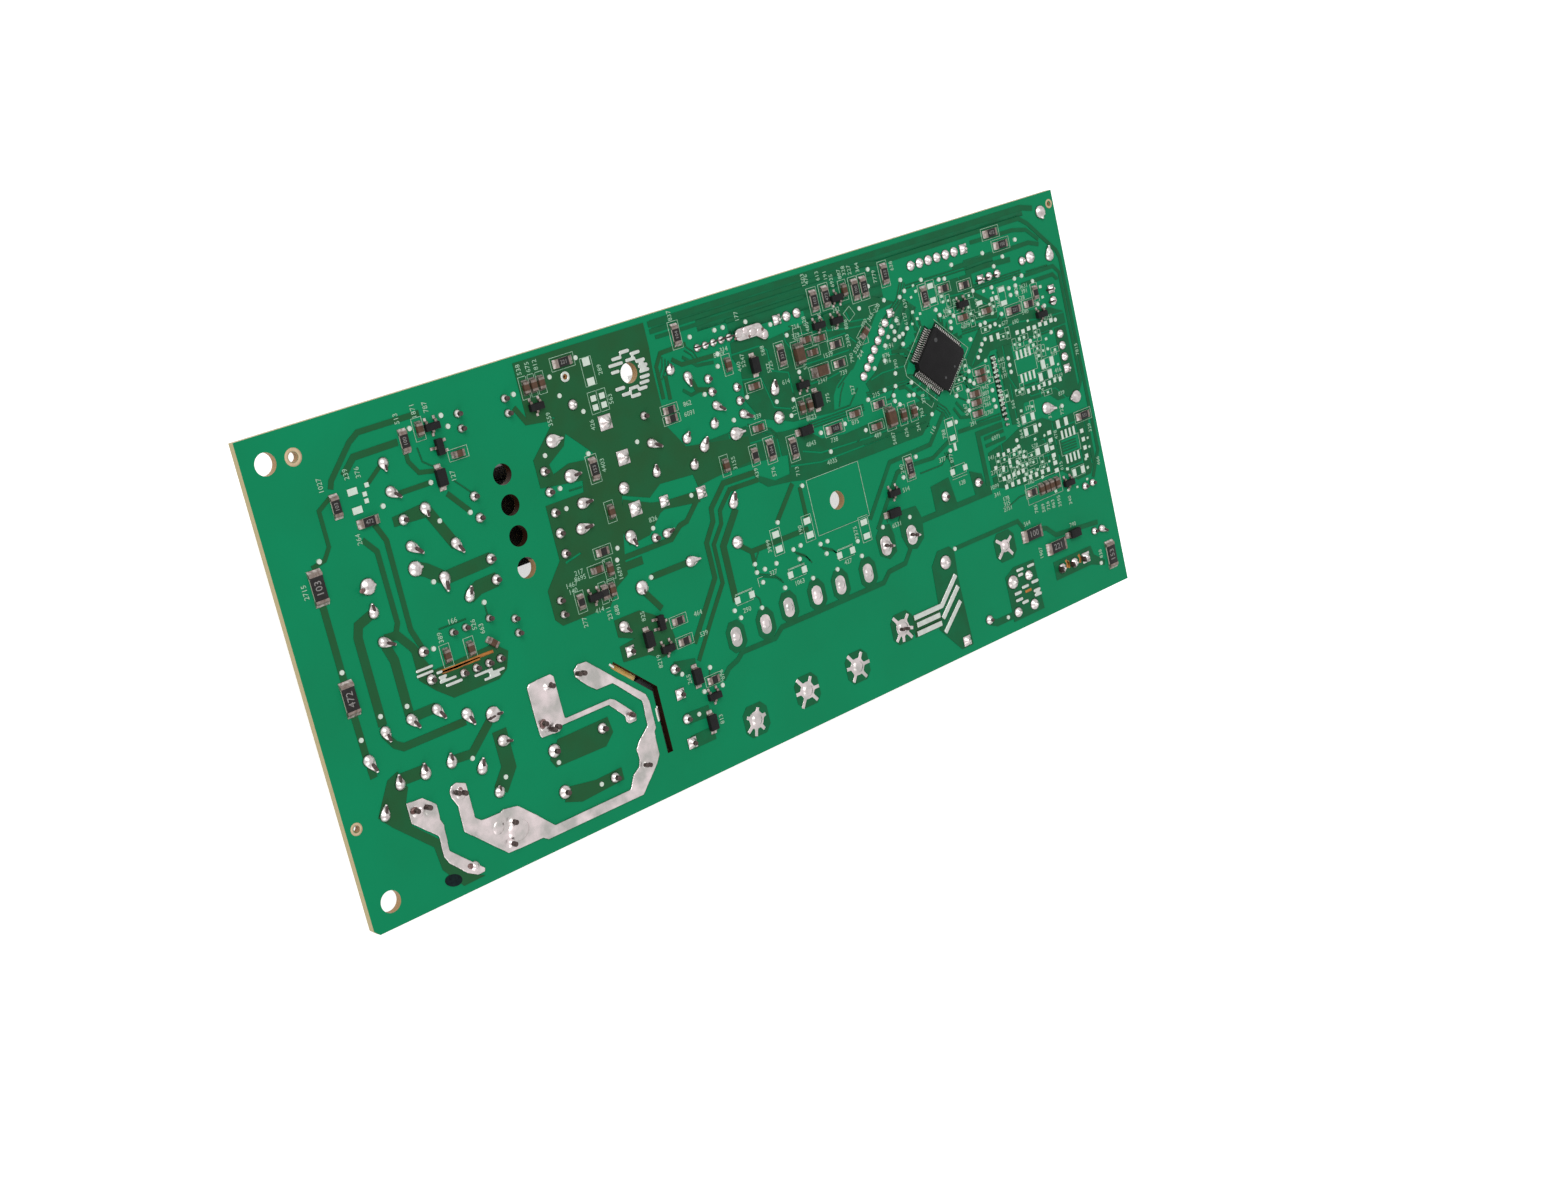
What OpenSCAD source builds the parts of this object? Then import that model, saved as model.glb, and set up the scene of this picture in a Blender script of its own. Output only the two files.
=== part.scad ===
// Microwave oven control board, lying with its solder side up.
// It rests on the tops of the tallest parts of its component side.
// Millimetres. Origin: centre of the board's outline in plan, z = 0 at the plane it rests on.

/* [Board] */
// Length of the board along X
board_l = 200; // [194:1:206]
// Width of the board along Y
board_w = 88.5; // [86:0.5:91]
// Thickness of the laminate
board_t = 1.6; // [1:0.1:2]
// Height of the tallest parts on the component side
tall = 20; // [18:0.5:24]
// Thickness of the lacquered copper, drawn heavier than foil so that it shows
copper_t = 0.1; // [0.05:0.05:0.2]
// Diameter of the two fixing holes at the left end
fix_d = 4; // [3.6:0.1:4.4]
// Diameter of the centre fixing hole
centre_d = 3.8; // [3.4:0.1:4.2]
// Diameter of the ground screw's hole
ground_d = 3.9; // [3.5:0.1:4.3]
// Diameter of the vent holes under the transformer
vent_d = 3.9; // [3.5:0.1:4.3]
// Width of the isolation slot
slot_w = 1.3; // [1:0.1:1.6]

/* [Solder side] */
// Height of a round solder joint
joint_h = 1; // [0.8:0.1:1.4]
// Thickness of tinned copper bars and stripes
tin_t = 0.4; // [0.3:0.1:0.8]
// Side of the controller's square body
chip_s = 10; // [9.8:0.1:10.2]
// Leads on each side of the controller
chip_n = 16; // [12:1:20]
// Lead pitch of the controller
chip_p = 0.5; // [0.4:0.05:0.65]

/* [Component side] */
// Height of a relay's case
relay_h = 15.5; // [15:0.1:16.5]
// Height of a film capacitor's box
film_h = 11; // [9:0.5:13]
// Height of the 2.5 mm pitch headers
header_h = 7; // [6:0.5:10]
// Diameter of the tall electrolytic capacitors
can_d = 10; // [9.5:0.5:10]
// Diameter of the buzzer
buzzer_d = 17; // [14:0.5:18]

/* [Hidden] */
$fn = 48;
e = 0.01;
z0 = tall;               // component face of the laminate
z1 = tall + board_t;     // solder face of the laminate

// Places are read from the top left corner of the solder side: x to the right, y down.
module at(x, y, a = 0) translate([x - board_l / 2, board_w / 2 - y, 0]) rotate([0, 0, a]) children();
module on(x, y, a = 0) at(x, y, a) translate([0, 0, z1]) children();
module under(x, y, a = 0) at(x, y, a) translate([0, 0, z0]) children();
module slab(w, d, h) translate([-w / 2, -d / 2, 0]) cube([w, d, h]);
// A plate that hangs below the board, from depth a down to depth b.
module drop(w, d, a, b) translate([-w / 2, -d / 2, -b]) cube([w, d, b - a]);
module pin(r, a, b) translate([0, 0, -b]) cylinder(r = r, h = b - a);

// A ribbon of width w along a list of points, with mitred corners.
function unit(v) = v / norm(v);
function side(p, i) = let (n = len(p) - 1,
    a = i > 0 ? unit(p[i] - p[i - 1]) : unit(p[1] - p[0]),
    b = i < n ? unit(p[i + 1] - p[i]) : a,
    m = unit([-(a[1] + b[1]), a[0] + b[0]]))
  m / max(0.5, m * [-a[1], a[0]]);
module ribbon(w, p) {
  n = len(p) - 1;
  polygon(concat([for (i = [0:n]) p[i] + side(p, i) * w / 2], [for (i = [n:-1:0]) p[i] - side(p, i) * w / 2]));
}
// Flat shapes given in the reading frame, brought into the row's frame.
module flat() translate([-board_l / 2, board_w / 2]) scale([1, -1]) children();
module pill(x, y, l, w, a = 0) translate([x, y]) rotate(a) { square([l - w, w], center = true); for (s = [-1, 1]) translate([s * (l - w) / 2, 0]) circle(d = w); }

// ---- holes ----
fixings = [[4.6, 4.95], [4.6, 83.75]];
centre = [122.3, 46.7];
ground = [80.2, 9.3];
vents = [[48.2, 19.5], [48.2, 25.2], [48.2, 31], [48.2, 37]];
tooling = [[9.8, 5.2, 0.9], [2.2, 69.2, 0.6], [198.4, 2.8, 0.5], [66.1, 6.3, 0.5]];
slot = [[60.6, 60], [68.6, 67.6], [68.6, 80.4]];
module holes() {
  for (p = fixings) translate(p) circle(d = fix_d);
  translate(centre) circle(d = centre_d);
  translate(ground) circle(d = ground_d);
  for (p = vents) translate(p) circle(d = vent_d);
  for (p = tooling) translate([p[0], p[1]]) circle(r = p[2]);
}
module laminate() color([0.09, 0.52, 0.35]) translate([0, 0, z0]) linear_extrude(board_t) flat() difference() {
  polygon([[0, 0], [board_l, 0], [board_l, board_w], [1, board_w], [0, board_w - 1]]);
  holes();
  ribbon(slot_w, slot);
}

// ---- solder joints: x, y, radius, then the reach of a bent lead end ----
mains = [[25.7, 10.8, 1.1, 0, 1.2], [25.6, 15.9, 1.1, 1.4, 1.3], [26.6, 21.3, 1.1, 0, 0], [31.3, 20.6, 1.2, 0, 1.3],
  [26.6, 26.1, 1.1, 1.7, 1.6], [35.3, 28.2, 1.1, 0.9, 1.8], [16.6, 30.2, 1.6, 1, 0], [26.3, 30.1, 1.5, 1, 0],
  [16.3, 34.9, 1.1, -0.1, -1.5], [31.4, 33.3, 1.2, -0.2, 2.3], [35.2, 38.2, 1.1, 0.6, -1.6], [16.5, 40.2, 1.1, 1.8, 1],
  [23.5, 44.4, 1.1, 0, 0], [23.6, 49.6, 1.1, 0, 0], [12.3, 55.1, 1.1, 0.3, 1.7], [17.7, 54.8, 1.1, 1, 1.7],
  [23, 54.9, 1.1, 1, 1.8], [28.5, 57.8, 1.2, 0.8, 2], [33.6, 59.8, 1.6, 1.5, 0.2], [34.1, 65, 1.2, 1.5, 0.5],
  [28.6, 68.3, 1.2, 0.5, -1.7], [7.9, 69.1, 1.1, 0.5, -1.7], [30.8, 73.6, 1.2, 0, -1], [7.8, 58.8, 1.2, 0.8, 2.1],
  [12.3, 65, 1.1, 0, -1.7], [17.6, 65, 1.2, 0, -1.8], [23.1, 65, 1.2, 0, -1.6], [43.9, 70.7, 1.4, 0, 0],
  [43.9, 78.8, 1.4, 0, 0], [55.1, 70.5, 1.15, 0, 0], [55.1, 80.3, 1.1, 0, 0],
  [30.1, 43.1, 0.8, 0, 0], [32.8, 43.1, 0.8, 0, 0], [37.9, 43.1, 0.8, 0, 0], [30.1, 50.7, 0.9, 0, 0],
  [32.8, 50.7, 0.9, 0, 0], [35.5, 50.7, 0.9, 0, 0], [38, 50.7, 0.9, 0, 0],
  [42.4, 6.7, 0.85, 0, 0], [42.4, 9.4, 0.85, 0, 0], [43, 44.9, 0.85, 0, 0], [43, 47.6, 0.85, 0, 0],
  [41.4, 21.5, 1, 0, 0], [41.4, 25.5, 1, 0, 0], [41.4, 33.1, 1.1, 0, 0], [41.4, 37, 1.1, 0, 0]];
supply = [[52.5, 6.7, 0.85, 0, 0], [52.5, 9.4, 0.85, 0, 0], [53.2, 44.9, 0.85, 0, 0], [53.2, 47.6, 0.85, 0, 0],
  [56.8, 21.5, 1, 0, 0], [56.8, 25.4, 1, 0, 0], [56.8, 29.3, 1, 0, 0], [56.8, 33.2, 1.1, 0, 0], [56.8, 37.1, 1, 0, 0],
  [60, 16.7, 1.4, 1.9, 0], [62, 23.9, 1.4, 1.9, 0], [63, 29.4, 1.2, 1.9, 0], [61.4, 33.8, 1.2, 2.3, 0],
  [66.3, 11.6, 1.1, 0, 0], [72.8, 29.4, 1.3, 0, 0], [71.6, 38.4, 1.3, 0.6, 1.8], [71.3, 48.4, 1.5, 0, 0.9],
  [65.2, 54, 1.2, 1, 1.2], [77, 40.4, 1, 0, 0], [79.7, 40.4, 1, 1.4, -0.4], [83.5, 47.2, 1.2, 1.9, 0],
  [95.5, 47.1, 1.4, 0, 0], [96.7, 39.6, 1.2, 0.6, -1.9], [89.5, 11.2, 1.1, 0, -0.9], [93.1, 13.4, 1.1, 0, 1.6],
  [97.7, 15.1, 1, 0, 0], [97.9, 17.7, 1, 0, 0], [98.1, 20.4, 1, 1.5, 1.2], [104, 18.4, 1, 0, 0], [104, 21.1, 1, 0, 0],
  [104, 23.7, 1, 1.7, 1], [96.7, 23.7, 1.1, 0, -0.9], [89.5, 24.6, 1.1, 0.5, -1], [93.1, 27.2, 1.2, 0.8, -1.5],
  [101.1, 26.9, 1.4, 1.9, 0], [112.5, 26.8, 1.4, 0, 0], [113, 21.4, 1.2, 0.2, -1.8], [81.1, 17.8, 0.9, 0, 0],
  [81.2, 23.1, 1, 1.9, 1.1], [80.8, 28.8, 1, 0, -1.4], [89.8, 29.9, 1.1, 0, -0.9]];
logic = [[132.2, 59.4, 1.2, 1.6, 0.5], [139.7, 59.4, 1.2, 1.6, 0.5], [151, 54.6, 1.2, 0, 0], [161, 54.5, 1.1, 0, 0],
  [186.9, 12.7, 1, 0, 0], [189.6, 12.5, 1.4, 0, 0], [195.5, 13.5, 1.3, 0, -1.9], [195.4, 3.9, 1.5, 0, 1.2],
  [185.4, 44.9, 1.4, 2.3, 0.6], [195.1, 44.9, 1.5, -2, 0], [147.1, 67.8, 1.6, 0, 0], [155.9, 83.5, 1.1, 0, 0],
  [164.9, 78, 1.6, 0, 0], [169.8, 78, 1.2, 0, 0], [164.6, 84.7, 1.2, 0, 0], [169.8, 84.6, 1.3, 0, 0],
  [180.3, 79.8, 1.2, 0, 0], [184.3, 79.8, 1.2, 0, 0], [192.3, 75, 0.9, 0, 0], [194.7, 75.1, 0.9, 1.2, 0.8],
  [192.2, 64.6, 0.9, 0, 0], [194.7, 64.5, 0.9, 0, 0], [74, 65.6, 1.1, 0, 0], [74, 75.7, 1.1, 0, 0]];
// Joints of the header rows: x, y, radius.
rows = concat([for (i = [0:4]) [96.9 + 2 * i, 8.8, 0.85]], [for (i = [0:6]) [136.2 + 1.44 * i, 24.8 - 1.49 * i, 1]],
  [for (i = [0:5]) [155.1 + 2.55 * i, 6.4, 1.15]], [for (i = [0:2]) [194, 30.5 + 2.55 * i, 1.05]],
  [for (i = [0:12]) [172.6, 30.6 + 1.2 * i, 0.45]],
  [[120, 8.35, 1.1], [122.7, 8.35, 1.1], [176.4, 13.6, 1], [178.9, 13.6, 1], [194, 23.1, 1.1]]);
// Square joints: x, y, side.
squares_s = [[65.3, 58.9, 2.1], [72.3, 16.6, 2.9], [74.3, 23.9, 2.8], [74.2, 33.8, 2.7], [81, 34.4, 2.2], [89.9, 35.3, 2.3]];
squares_l = [[73.9, 70.6, 2.2], [73.9, 80.5, 2.2], [117.4, 8.4, 2], [170.6, 6.4, 2.1], [173.8, 13.6, 1.9], [194, 38.2, 1.9], [194, 20.5, 1.9],
  [146.8, 14.3, 1.8], [148.4, 85.6, 2.2], [188.1, 79.8, 2.4]];

// A drop of solder with the lead's end standing out of it. Where t or u isn't 0
// the lead is bent over, and the solder runs out along it to a point.
module drop_of(r, h) {
  cylinder(r1 = r, r2 = r * 0.88, h = h * 0.4);
  translate([0, 0, h * 0.4]) cylinder(r1 = r * 0.88, r2 = r * 0.62, h = h * 0.3);
  translate([0, 0, h * 0.7]) cylinder(r1 = r * 0.62, r2 = r * 0.3, h = h * 0.25);
}
module joint(x, y, r, t = 0, u = 0) on(x, y) {
  l = norm([t, u]);
  drop_of(r, joint_h);
  if (l > 0) rotate([0, 0, atan2(-u, t)]) {
    linear_extrude(joint_h * 0.5) polygon(run_out(r, l));
    rotate([0, 90, 0]) translate([-joint_h * 0.55, 0, 0]) cylinder(r = 0.3, h = l + 0.35);
  } else cylinder(r = 0.3, h = joint_h + 0.3);
}
function run_out(r, l) = [[0, -r * 0.9], [r * 0.5, -r * 0.8], [l, -0.32], [l + 0.3, 0], [l, 0.32], [r * 0.5, r * 0.8], [0, r * 0.9]];
module square_joint(x, y, s) on(x, y) {
  slab(s, s, 0.3);
  drop_of(s * 0.48, joint_h);
  cylinder(r = 0.3, h = joint_h + 0.3);
}
module mains_joints() color([0.8, 0.76, 0.75]) { for (j = mains) joint(j[0], j[1], j[2], j[3], j[4]); }
module supply_joints() color([0.8, 0.76, 0.75]) { for (j = supply) joint(j[0], j[1], j[2], j[3], j[4]); for (j = squares_s) square_joint(j[0], j[1], j[2]); }
module logic_joints() color([0.8, 0.76, 0.75]) { translate([0, 0, z1]) linear_extrude(0.35) flat() for (i = [6, 7]) oval_shape(ovals[i]); for (j = logic) joint(j[0], j[1], j[2], j[3], j[4]); for (j = squares_l) square_joint(j[0], j[1], j[2]); }
// The last pins of the 2 mm row are bridged by one long lump of solder.
module row_joints() color([0.8, 0.76, 0.75]) {
  for (j = rows) on(j[0], j[1]) { drop_of(j[2], joint_h * 0.8); cylinder(r = min(0.3, j[2] * 0.4), h = joint_h * 0.8 + 0.2); }
  on(0, 0) linear_extrude(0.8) flat_here() { pill(109.6, 8.9, 7, 2.4, 0); pill(112.4, 9.7, 4, 2, 35); }
}
// Undoes the place of on(0, 0) for shapes given in the reading frame.
module flat_here() scale([1, -1]) children();

// ---- tinned copper ----
track_1 = [[12.6, 68.7], [15.9, 68.9], [18.3, 71], [18.2, 74], [18.6, 75], [18.3, 79.9], [22, 83.5], [24.2, 85.6], [24, 86.2], [22.5, 86.3], [20.6, 85.2], [17.6, 82.1], [16.9, 80.5], [17, 76.6], [12.6, 72.5]];
track_2 = [[21.3, 70], [21.9, 69.1], [23, 68.8], [24.9, 69.6], [24.9, 76.2], [26, 77.2], [30, 77.3], [30.8, 77], [33.8, 77.5], [37, 80.5], [40.3, 83.9], [58, 83.9], [59.4, 81.5], [61, 80.6], [61.5, 79.2], [61.4, 77.2], [62.5, 75.8], [65.1, 73.8], [65.3, 68.9], [60, 63.5], [56.2, 63.4], [54.5, 62], [52.4, 59.6], [52.4, 58.2], [53.6, 57.4], [55.6, 57.6], [61.2, 63], [66.5, 68], [66.9, 69.5], [66.9, 74.8], [66.3, 75.5], [66.2, 79.9], [65.2, 81.4], [60.5, 86], [38.2, 85.9], [37.2, 85.2], [29.6, 85.1], [22, 77.8], [22.2, 73], [21.3, 71]];
track_3 = [[41.9, 58], [42.5, 57.3], [47.3, 57.1], [48, 57.8], [48.1, 66], [58.5, 66], [59.5, 66.5], [62.5, 69.7], [63.3, 71.3], [63, 72], [61.3, 72], [60.7, 71.3], [60.8, 70.3], [57.9, 67], [47, 67], [45.8, 67.9], [42.3, 67.7], [42, 67]];
module tinned_shapes() translate([-0.3, -0.2]) { polygon(track_1); polygon(track_2); polygon(track_3); }
module tinned_tracks() color([0.8, 0.76, 0.75]) {
  translate([0, 0, z1]) linear_extrude(tin_t) flat() tinned_shapes();
  for (p = [[14.8, 70.5], [22.9, 70.5], [22, 84.4], [30.4, 83.4], [31.6, 79.7], [45.7, 58.9], [45.7, 66.7], [53.1, 58.9], [62, 70.8], [62.4, 80.4]])
    on(p[0], p[1]) { translate([0, 0, tin_t - 0.1]) cylinder(r1 = 1.1, r2 = 0.6, h = 0.35); cylinder(r = 0.35, h = tin_t + 0.5); }
}
// Stripes: x, y, length, width, turn. They stiffen the copper around heavy pins and carry heat.
ground_stripes = [[80.1, 5.2, 2.4], [78.1, 6, 2.4], [82.4, 6, 2.4], [77.6, 7.05, 3.4], [81.1, 6.95, 2.4], [83.2, 7.65, 2.3], [77.1, 8.35, 2], [83.5, 8.7, 2.3], [83.6, 9.65, 2.4],
  [83.4, 10.75, 2.4], [77.3, 11.55, 2.3], [83, 11.75, 2.4], [80.4, 12.15, 2.4], [82.3, 12.75, 2.3], [78.5, 12.85, 2.4], [80.4, 13.65, 2.4]];
heat_stripes = [[22.75, 47.3, 3.6], [22.6, 48.2, 3.5], [25.4, 48.9, 1.3], [25.8, 49.85, 1.8], [26.7, 50.7, 3.6], [27.7, 51.65, 3.6], [33.9, 51.95, 4], [36.6, 52.6, 3.4], [35.4, 53.3, 3.5]];
lamp_stripes = [[167.5, 76, 2.2], [170.9, 76.1, 2.2], [167.4, 77.1, 1.6], [168.1, 80, 2.2], [171.2, 79.8, 2.2], [165.6, 80.7, 2.2], [165.6, 82.2, 2.2], [171.3, 81.8, 2.2], [171.4, 82.8, 2.2], [167.2, 83.2, 2]];
module bar_shapes() {
  for (s = concat(ground_stripes, lamp_stripes)) pill(s[0], s[1], s[2], 0.7);
  for (s = heat_stripes) pill(s[0], s[1], s[2], 0.55);
  ribbon(1.1, [[135.2, 76.1], [143.4, 76.1], [149, 71.1]]);
  ribbon(1.1, [[135.6, 77.8], [142.4, 77.8]]);
  ribbon(1.1, [[143, 78.8], [149, 73.6]]);
  ribbon(1.1, [[135.2, 79.6], [142.4, 79.6]]);
  ribbon(1, [[142.8, 81.9], [148.8, 76.8]]);
  difference() { translate([66.1, 6.3]) circle(r = 1); translate([66.1, 6.3]) circle(r = 0.5); }
}
module tinned_bars() color([0.8, 0.78, 0.76]) translate([0, 0, z1]) linear_extrude(tin_t) flat() bar_shapes();

// ---- small pads ----
tests = [[9.1, 23.3], [23.5, 17.9], [33.4, 23.6], [32.4, 6.6], [39.1, 6.1], [39.9, 8.3], [33.7, 16.7], [39.8, 24], [29.1, 33.4], [37.8, 40.1],
  [25.6, 44.6], [7.5, 42.6], [7.5, 54.9], [12.2, 52.3], [17.6, 52.4], [27.3, 65.8], [32.8, 71.5], [44.2, 73.1], [51.9, 80.4], [75.4, 67.1], [77, 75.8],
  [54.6, 6.5], [57.8, 18.8], [59.2, 25.4], [59.4, 29.3], [62.9, 5.5], [69.4, 3.6], [64, 9.3], [68.2, 13.4], [67, 21.1], [68.1, 39.6], [67.4, 41.7],
  [73.9, 47.2], [78.2, 22], [77, 38.5], [87.4, 35.2], [96.1, 17.7], [95.8, 6.4], [101.9, 6.6], [104, 6.6], [109.7, 6.9], [115.6, 8.9], [105.9, 20.9],
  [101.5, 24.3], [112.8, 23.7], [101.3, 11.1], [100.7, 13.4], [115.6, 27.3], [117, 24.4], [119, 11.9], [120, 19.6], [106.2, 46.4], [114.3, 41.3],
  [123.4, 36.9], [122, 32.6], [128.6, 32.6], [133.6, 35.3], [136, 29.6], [143.4, 4.4], [142.5, 7.7], [151.5, 8.5], [145.9, 11.4], [138.9, 11.4],
  [151.9, 10.9], [150.3, 11.8], [142.6, 23.2], [139.5, 24], [144.7, 26.4], [140.9, 28.9], [144, 28.9], [143, 30.6], [143, 31.8], [144.1, 32.8],
  [148, 16.1], [146.4, 17], [144.9, 18.8], [146.9, 18.2], [143.6, 20.3], [146.5, 19.8], [147.9, 19.5], [149, 19.2], [148.5, 21.2], [150.5, 18.4],
  [148.5, 29.3], [147.1, 31.7], [148.4, 31.9], [148.35, 34.8], [152.2, 37.1], [160.1, 35.3], [145.3, 44.3], [140.8, 47.4], [132.4, 55.5], [140.1, 55.7],
  [159.4, 16.7], [160.2, 18], [162.8, 20.1], [164, 19.1], [162.6, 21.4], [167.4, 25], [168.5, 29.2], [169.5, 28], [170.3, 26.8], [171.5, 26], [165, 31.3],
  [164.7, 33.3], [165.7, 34.1], [163.6, 35.1], [163.1, 37.3], [162.8, 39.2], [170.6, 36.9], [170.4, 39], [170.6, 40.5], [166.4, 8.8], [175.9, 8.5],
  [186.2, 7.9], [181.5, 10.5], [178.4, 11.9], [157.1, 9.8], [162, 10.9], [163.6, 11.1], [170.9, 15.4], [176.5, 16], [183.7, 15.8], [186, 15.7],
  [177.1, 31.6], [177.1, 33.1], [177.1, 34.6], [190.2, 45.7], [182.3, 47.8], [155.1, 45.8], [158.4, 40.5], [174.6, 49.1], [192.5, 82.5],
  [161.4, 84.8], [150.5, 65.9], [91, 59.6], [92.1, 61.4], [97.6, 61.2], [104.3, 59.3], [111.7, 59.7], [118.3, 60], [125.3, 59.4],
  [98.4, 52.5], [98.4, 54.2], [100.5, 54.2], [103.6, 54], [99.3, 56.5], [108.5, 52.7], [110.5, 52.5], [109.5, 55], [115.5, 53.8], [117.4, 53.8],
  [116.5, 56.1], [125.1, 56.2], [84, 72.4], [82.1, 68.1], [79.5, 72.1], [188.9, 17.6], [189.1, 22.7], [177.8, 22.1], [181.5, 17.4], [183.6, 17.3],
  [181.6, 18.9], [183.5, 18.8], [191, 23.5], [193.4, 27.2], [191.4, 29.5], [184.6, 29.7], [175.3, 23.7], [171, 22.8], [172.5, 22.7], [173.7, 23.8]];
module test_pads() color([0.76, 0.8, 0.76]) for (p = tests) on(p[0], p[1]) cylinder(r1 = 0.52, r2 = 0.44, h = 0.2);
// Pads with no part on them: x, y, width, height.
bare = concat([[18.55, 13.85, 1.9, 1.2], [18.55, 17.15, 1.9, 1.2], [21.5, 13.5, 0.8, 0.8], [20.7, 14.9, 0.8, 0.8], [20.7, 16.1, 0.8, 0.8],
  [71.4, 4.85, 1.6, 1.5], [71.4, 8.6, 1.6, 1.4], [71, 11.7, 1.2, 1.1], [73, 11.7, 1.2, 1.1], [71, 13.4, 1.2, 1.1], [73, 13.4, 1.2, 1.1],
  [105, 48.5, 1.7, 1.3], [105, 51.5, 1.7, 1.3], [113.4, 48.3, 1.7, 1.3], [113.4, 51.2, 1.7, 1.3], [127.7, 53, 1.7, 1.2], [127.7, 55.9, 1.7, 1.2],
  [106.3, 57.3, 1.3, 1.3], [110, 57.3, 1.3, 1.3], [119.6, 57.5, 1.3, 1.3], [123.2, 57.5, 1.3, 1.3], [92.2, 57.9, 1.3, 1.3], [95.9, 57.9, 1.3, 1.3],
  [156.5, 40.4, 1.6, 1.1], [156.5, 43.4, 1.6, 1.1], [156.6, 45.4, 0.7, 1.6], [154.4, 50.3, 1.2, 1.2], [158.2, 50.3, 1.2, 1.2],
  [159.2, 11.6, 1.6, 1.1], [159.2, 14.6, 1.6, 1.1], [187, 35.5, 1.2, 1.9], [189.8, 35.5, 1.2, 1.9], [185.5, 38, 1.2, 1.7], [188.5, 38, 1.3, 1.8],
  [177.9, 45.4, 1.1, 1.6], [180.7, 45.4, 1.1, 1.6], [177.8, 48.2, 1.1, 1.6], [180.8, 48.2, 1.1, 1.6], [187.8, 49.2, 1.1, 1.8], [190.4, 49.2, 1.1, 1.8],
  [180.1, 53.2, 1.2, 1.5], [182.9, 53.2, 1.2, 1.5], [189.8, 60.8, 1.1, 1.6], [192.6, 60.8, 1.2, 1.6], [179.1, 17.1, 1.7, 1], [179.1, 20, 1.7, 1],
  [172, 18.3, 1.7, 0.9], [175.8, 18.4, 0.9, 0.9], [177.2, 18.4, 0.9, 0.9], [173.3, 26.3, 0.9, 1.3], [175.4, 26.3, 0.9, 1.3]],
  [for (i = [0:3]) [179.8 + 1.3 * i, 31.7, 0.6, 1.9]], [for (i = [0:3]) [179.8 + 1.3 * i, 36.8, 0.6, 1.9]],
  [for (i = [0:3]) [188.4 + 1.27 * i, 51.8, 0.6, 1.9]], [for (i = [0:3]) [188.4 + 1.27 * i, 57.3, 0.6, 1.9]],
  [for (i = [0:6]) [181 + 1.7 * i, 39.9 - (i % 2) * 0.2, 0.8, 1]], [for (i = [0:6]) [181.2 + 1.8 * i, 27 + (i % 2) * 0.2, 1, 0.9]],
  [for (i = [0:4]) [168.6 + 1.5 * i, 55.9, 0.9, 0.9]], [for (i = [0:7]) [168.8 + 1.9 * i, 57.8, 0.9, 1]],
  [for (i = [0:3]) [194.6, 52.6 + 1.9 * i, 1, 0.9]], [for (i = [0:5]) [184.6, 50.2 + 1.7 * i, 1.2, 0.9]],
  [for (i = [0:4]) [168.3 + 1.6 * i, 50.5 + (i % 2) * 0.4, 0.8, 0.8]], [for (i = [0:4]) [166.8 + 2.2 * i, 53 + (i % 2) * 0.6, 0.8, 0.8]]);
module bare_pads() color([0.8, 0.82, 0.8]) for (p = bare) on(p[0], p[1]) slab(p[2], p[3], 0.2);
// Wide joints of relays, most of them not fitted: smooth ovals, and pads with rays of solder.
ovals = [[90, 64.6], [97.7, 64.6], [104.2, 63.3], [111.8, 63.3], [118.3, 63.3], [126, 63.3], [132.1, 59.4], [139.6, 59.4]];
stars = [[[90, 81.8], 1.9, [[91, 79.4], [92.6, 81.4], [87.3, 83.7], [89, 85], [91.5, 84.3], [87.7, 80.6]]],
  [[103.9, 80.7], 1.9, [[101.7, 77.7], [105.5, 78.1], [100.8, 80.7], [107.1, 80.8], [101.7, 83.9], [106, 83.5]]],
  [[117.8, 80.6], 1.9, [[115.7, 77.6], [119.6, 77.9], [114.8, 80.3], [121.3, 80.5], [115.9, 83.5], [119.7, 83.5]]],
  [[131.8, 77], 1.9, [[129.6, 74.2], [134, 74.6], [129.4, 79.5], [131.3, 80.1], [133.9, 79.9], [134.7, 78]]],
  [[164.9, 69.8], 1.5, [[162.5, 67.9], [167.3, 68.2], [162.4, 72.1], [166.8, 72.3]]]];
module oval_shape(p) pill(p[0], p[1], 4.2, 2.8, 90);
module star_shape(p) { translate(p[0]) circle(r = p[1]); for (t = p[2]) ribbon(1, [p[0], t]); }
module wide_joints() color([0.8, 0.76, 0.76]) {
  translate([0, 0, z1]) linear_extrude(0.35) flat() { for (i = [0:5]) oval_shape(ovals[i]); for (p = stars) star_shape(p); }
  for (i = [0:5]) on(ovals[i][0], ovals[i][1]) translate([0, 0, 0.3]) cylinder(r1 = 1.2, r2 = 0.6, h = 0.4);
  for (p = stars) on(p[0][0], p[0][1]) translate([0, 0, 0.3]) cylinder(r1 = p[1] * 0.8, r2 = p[1] * 0.45, h = 0.45);
}

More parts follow.
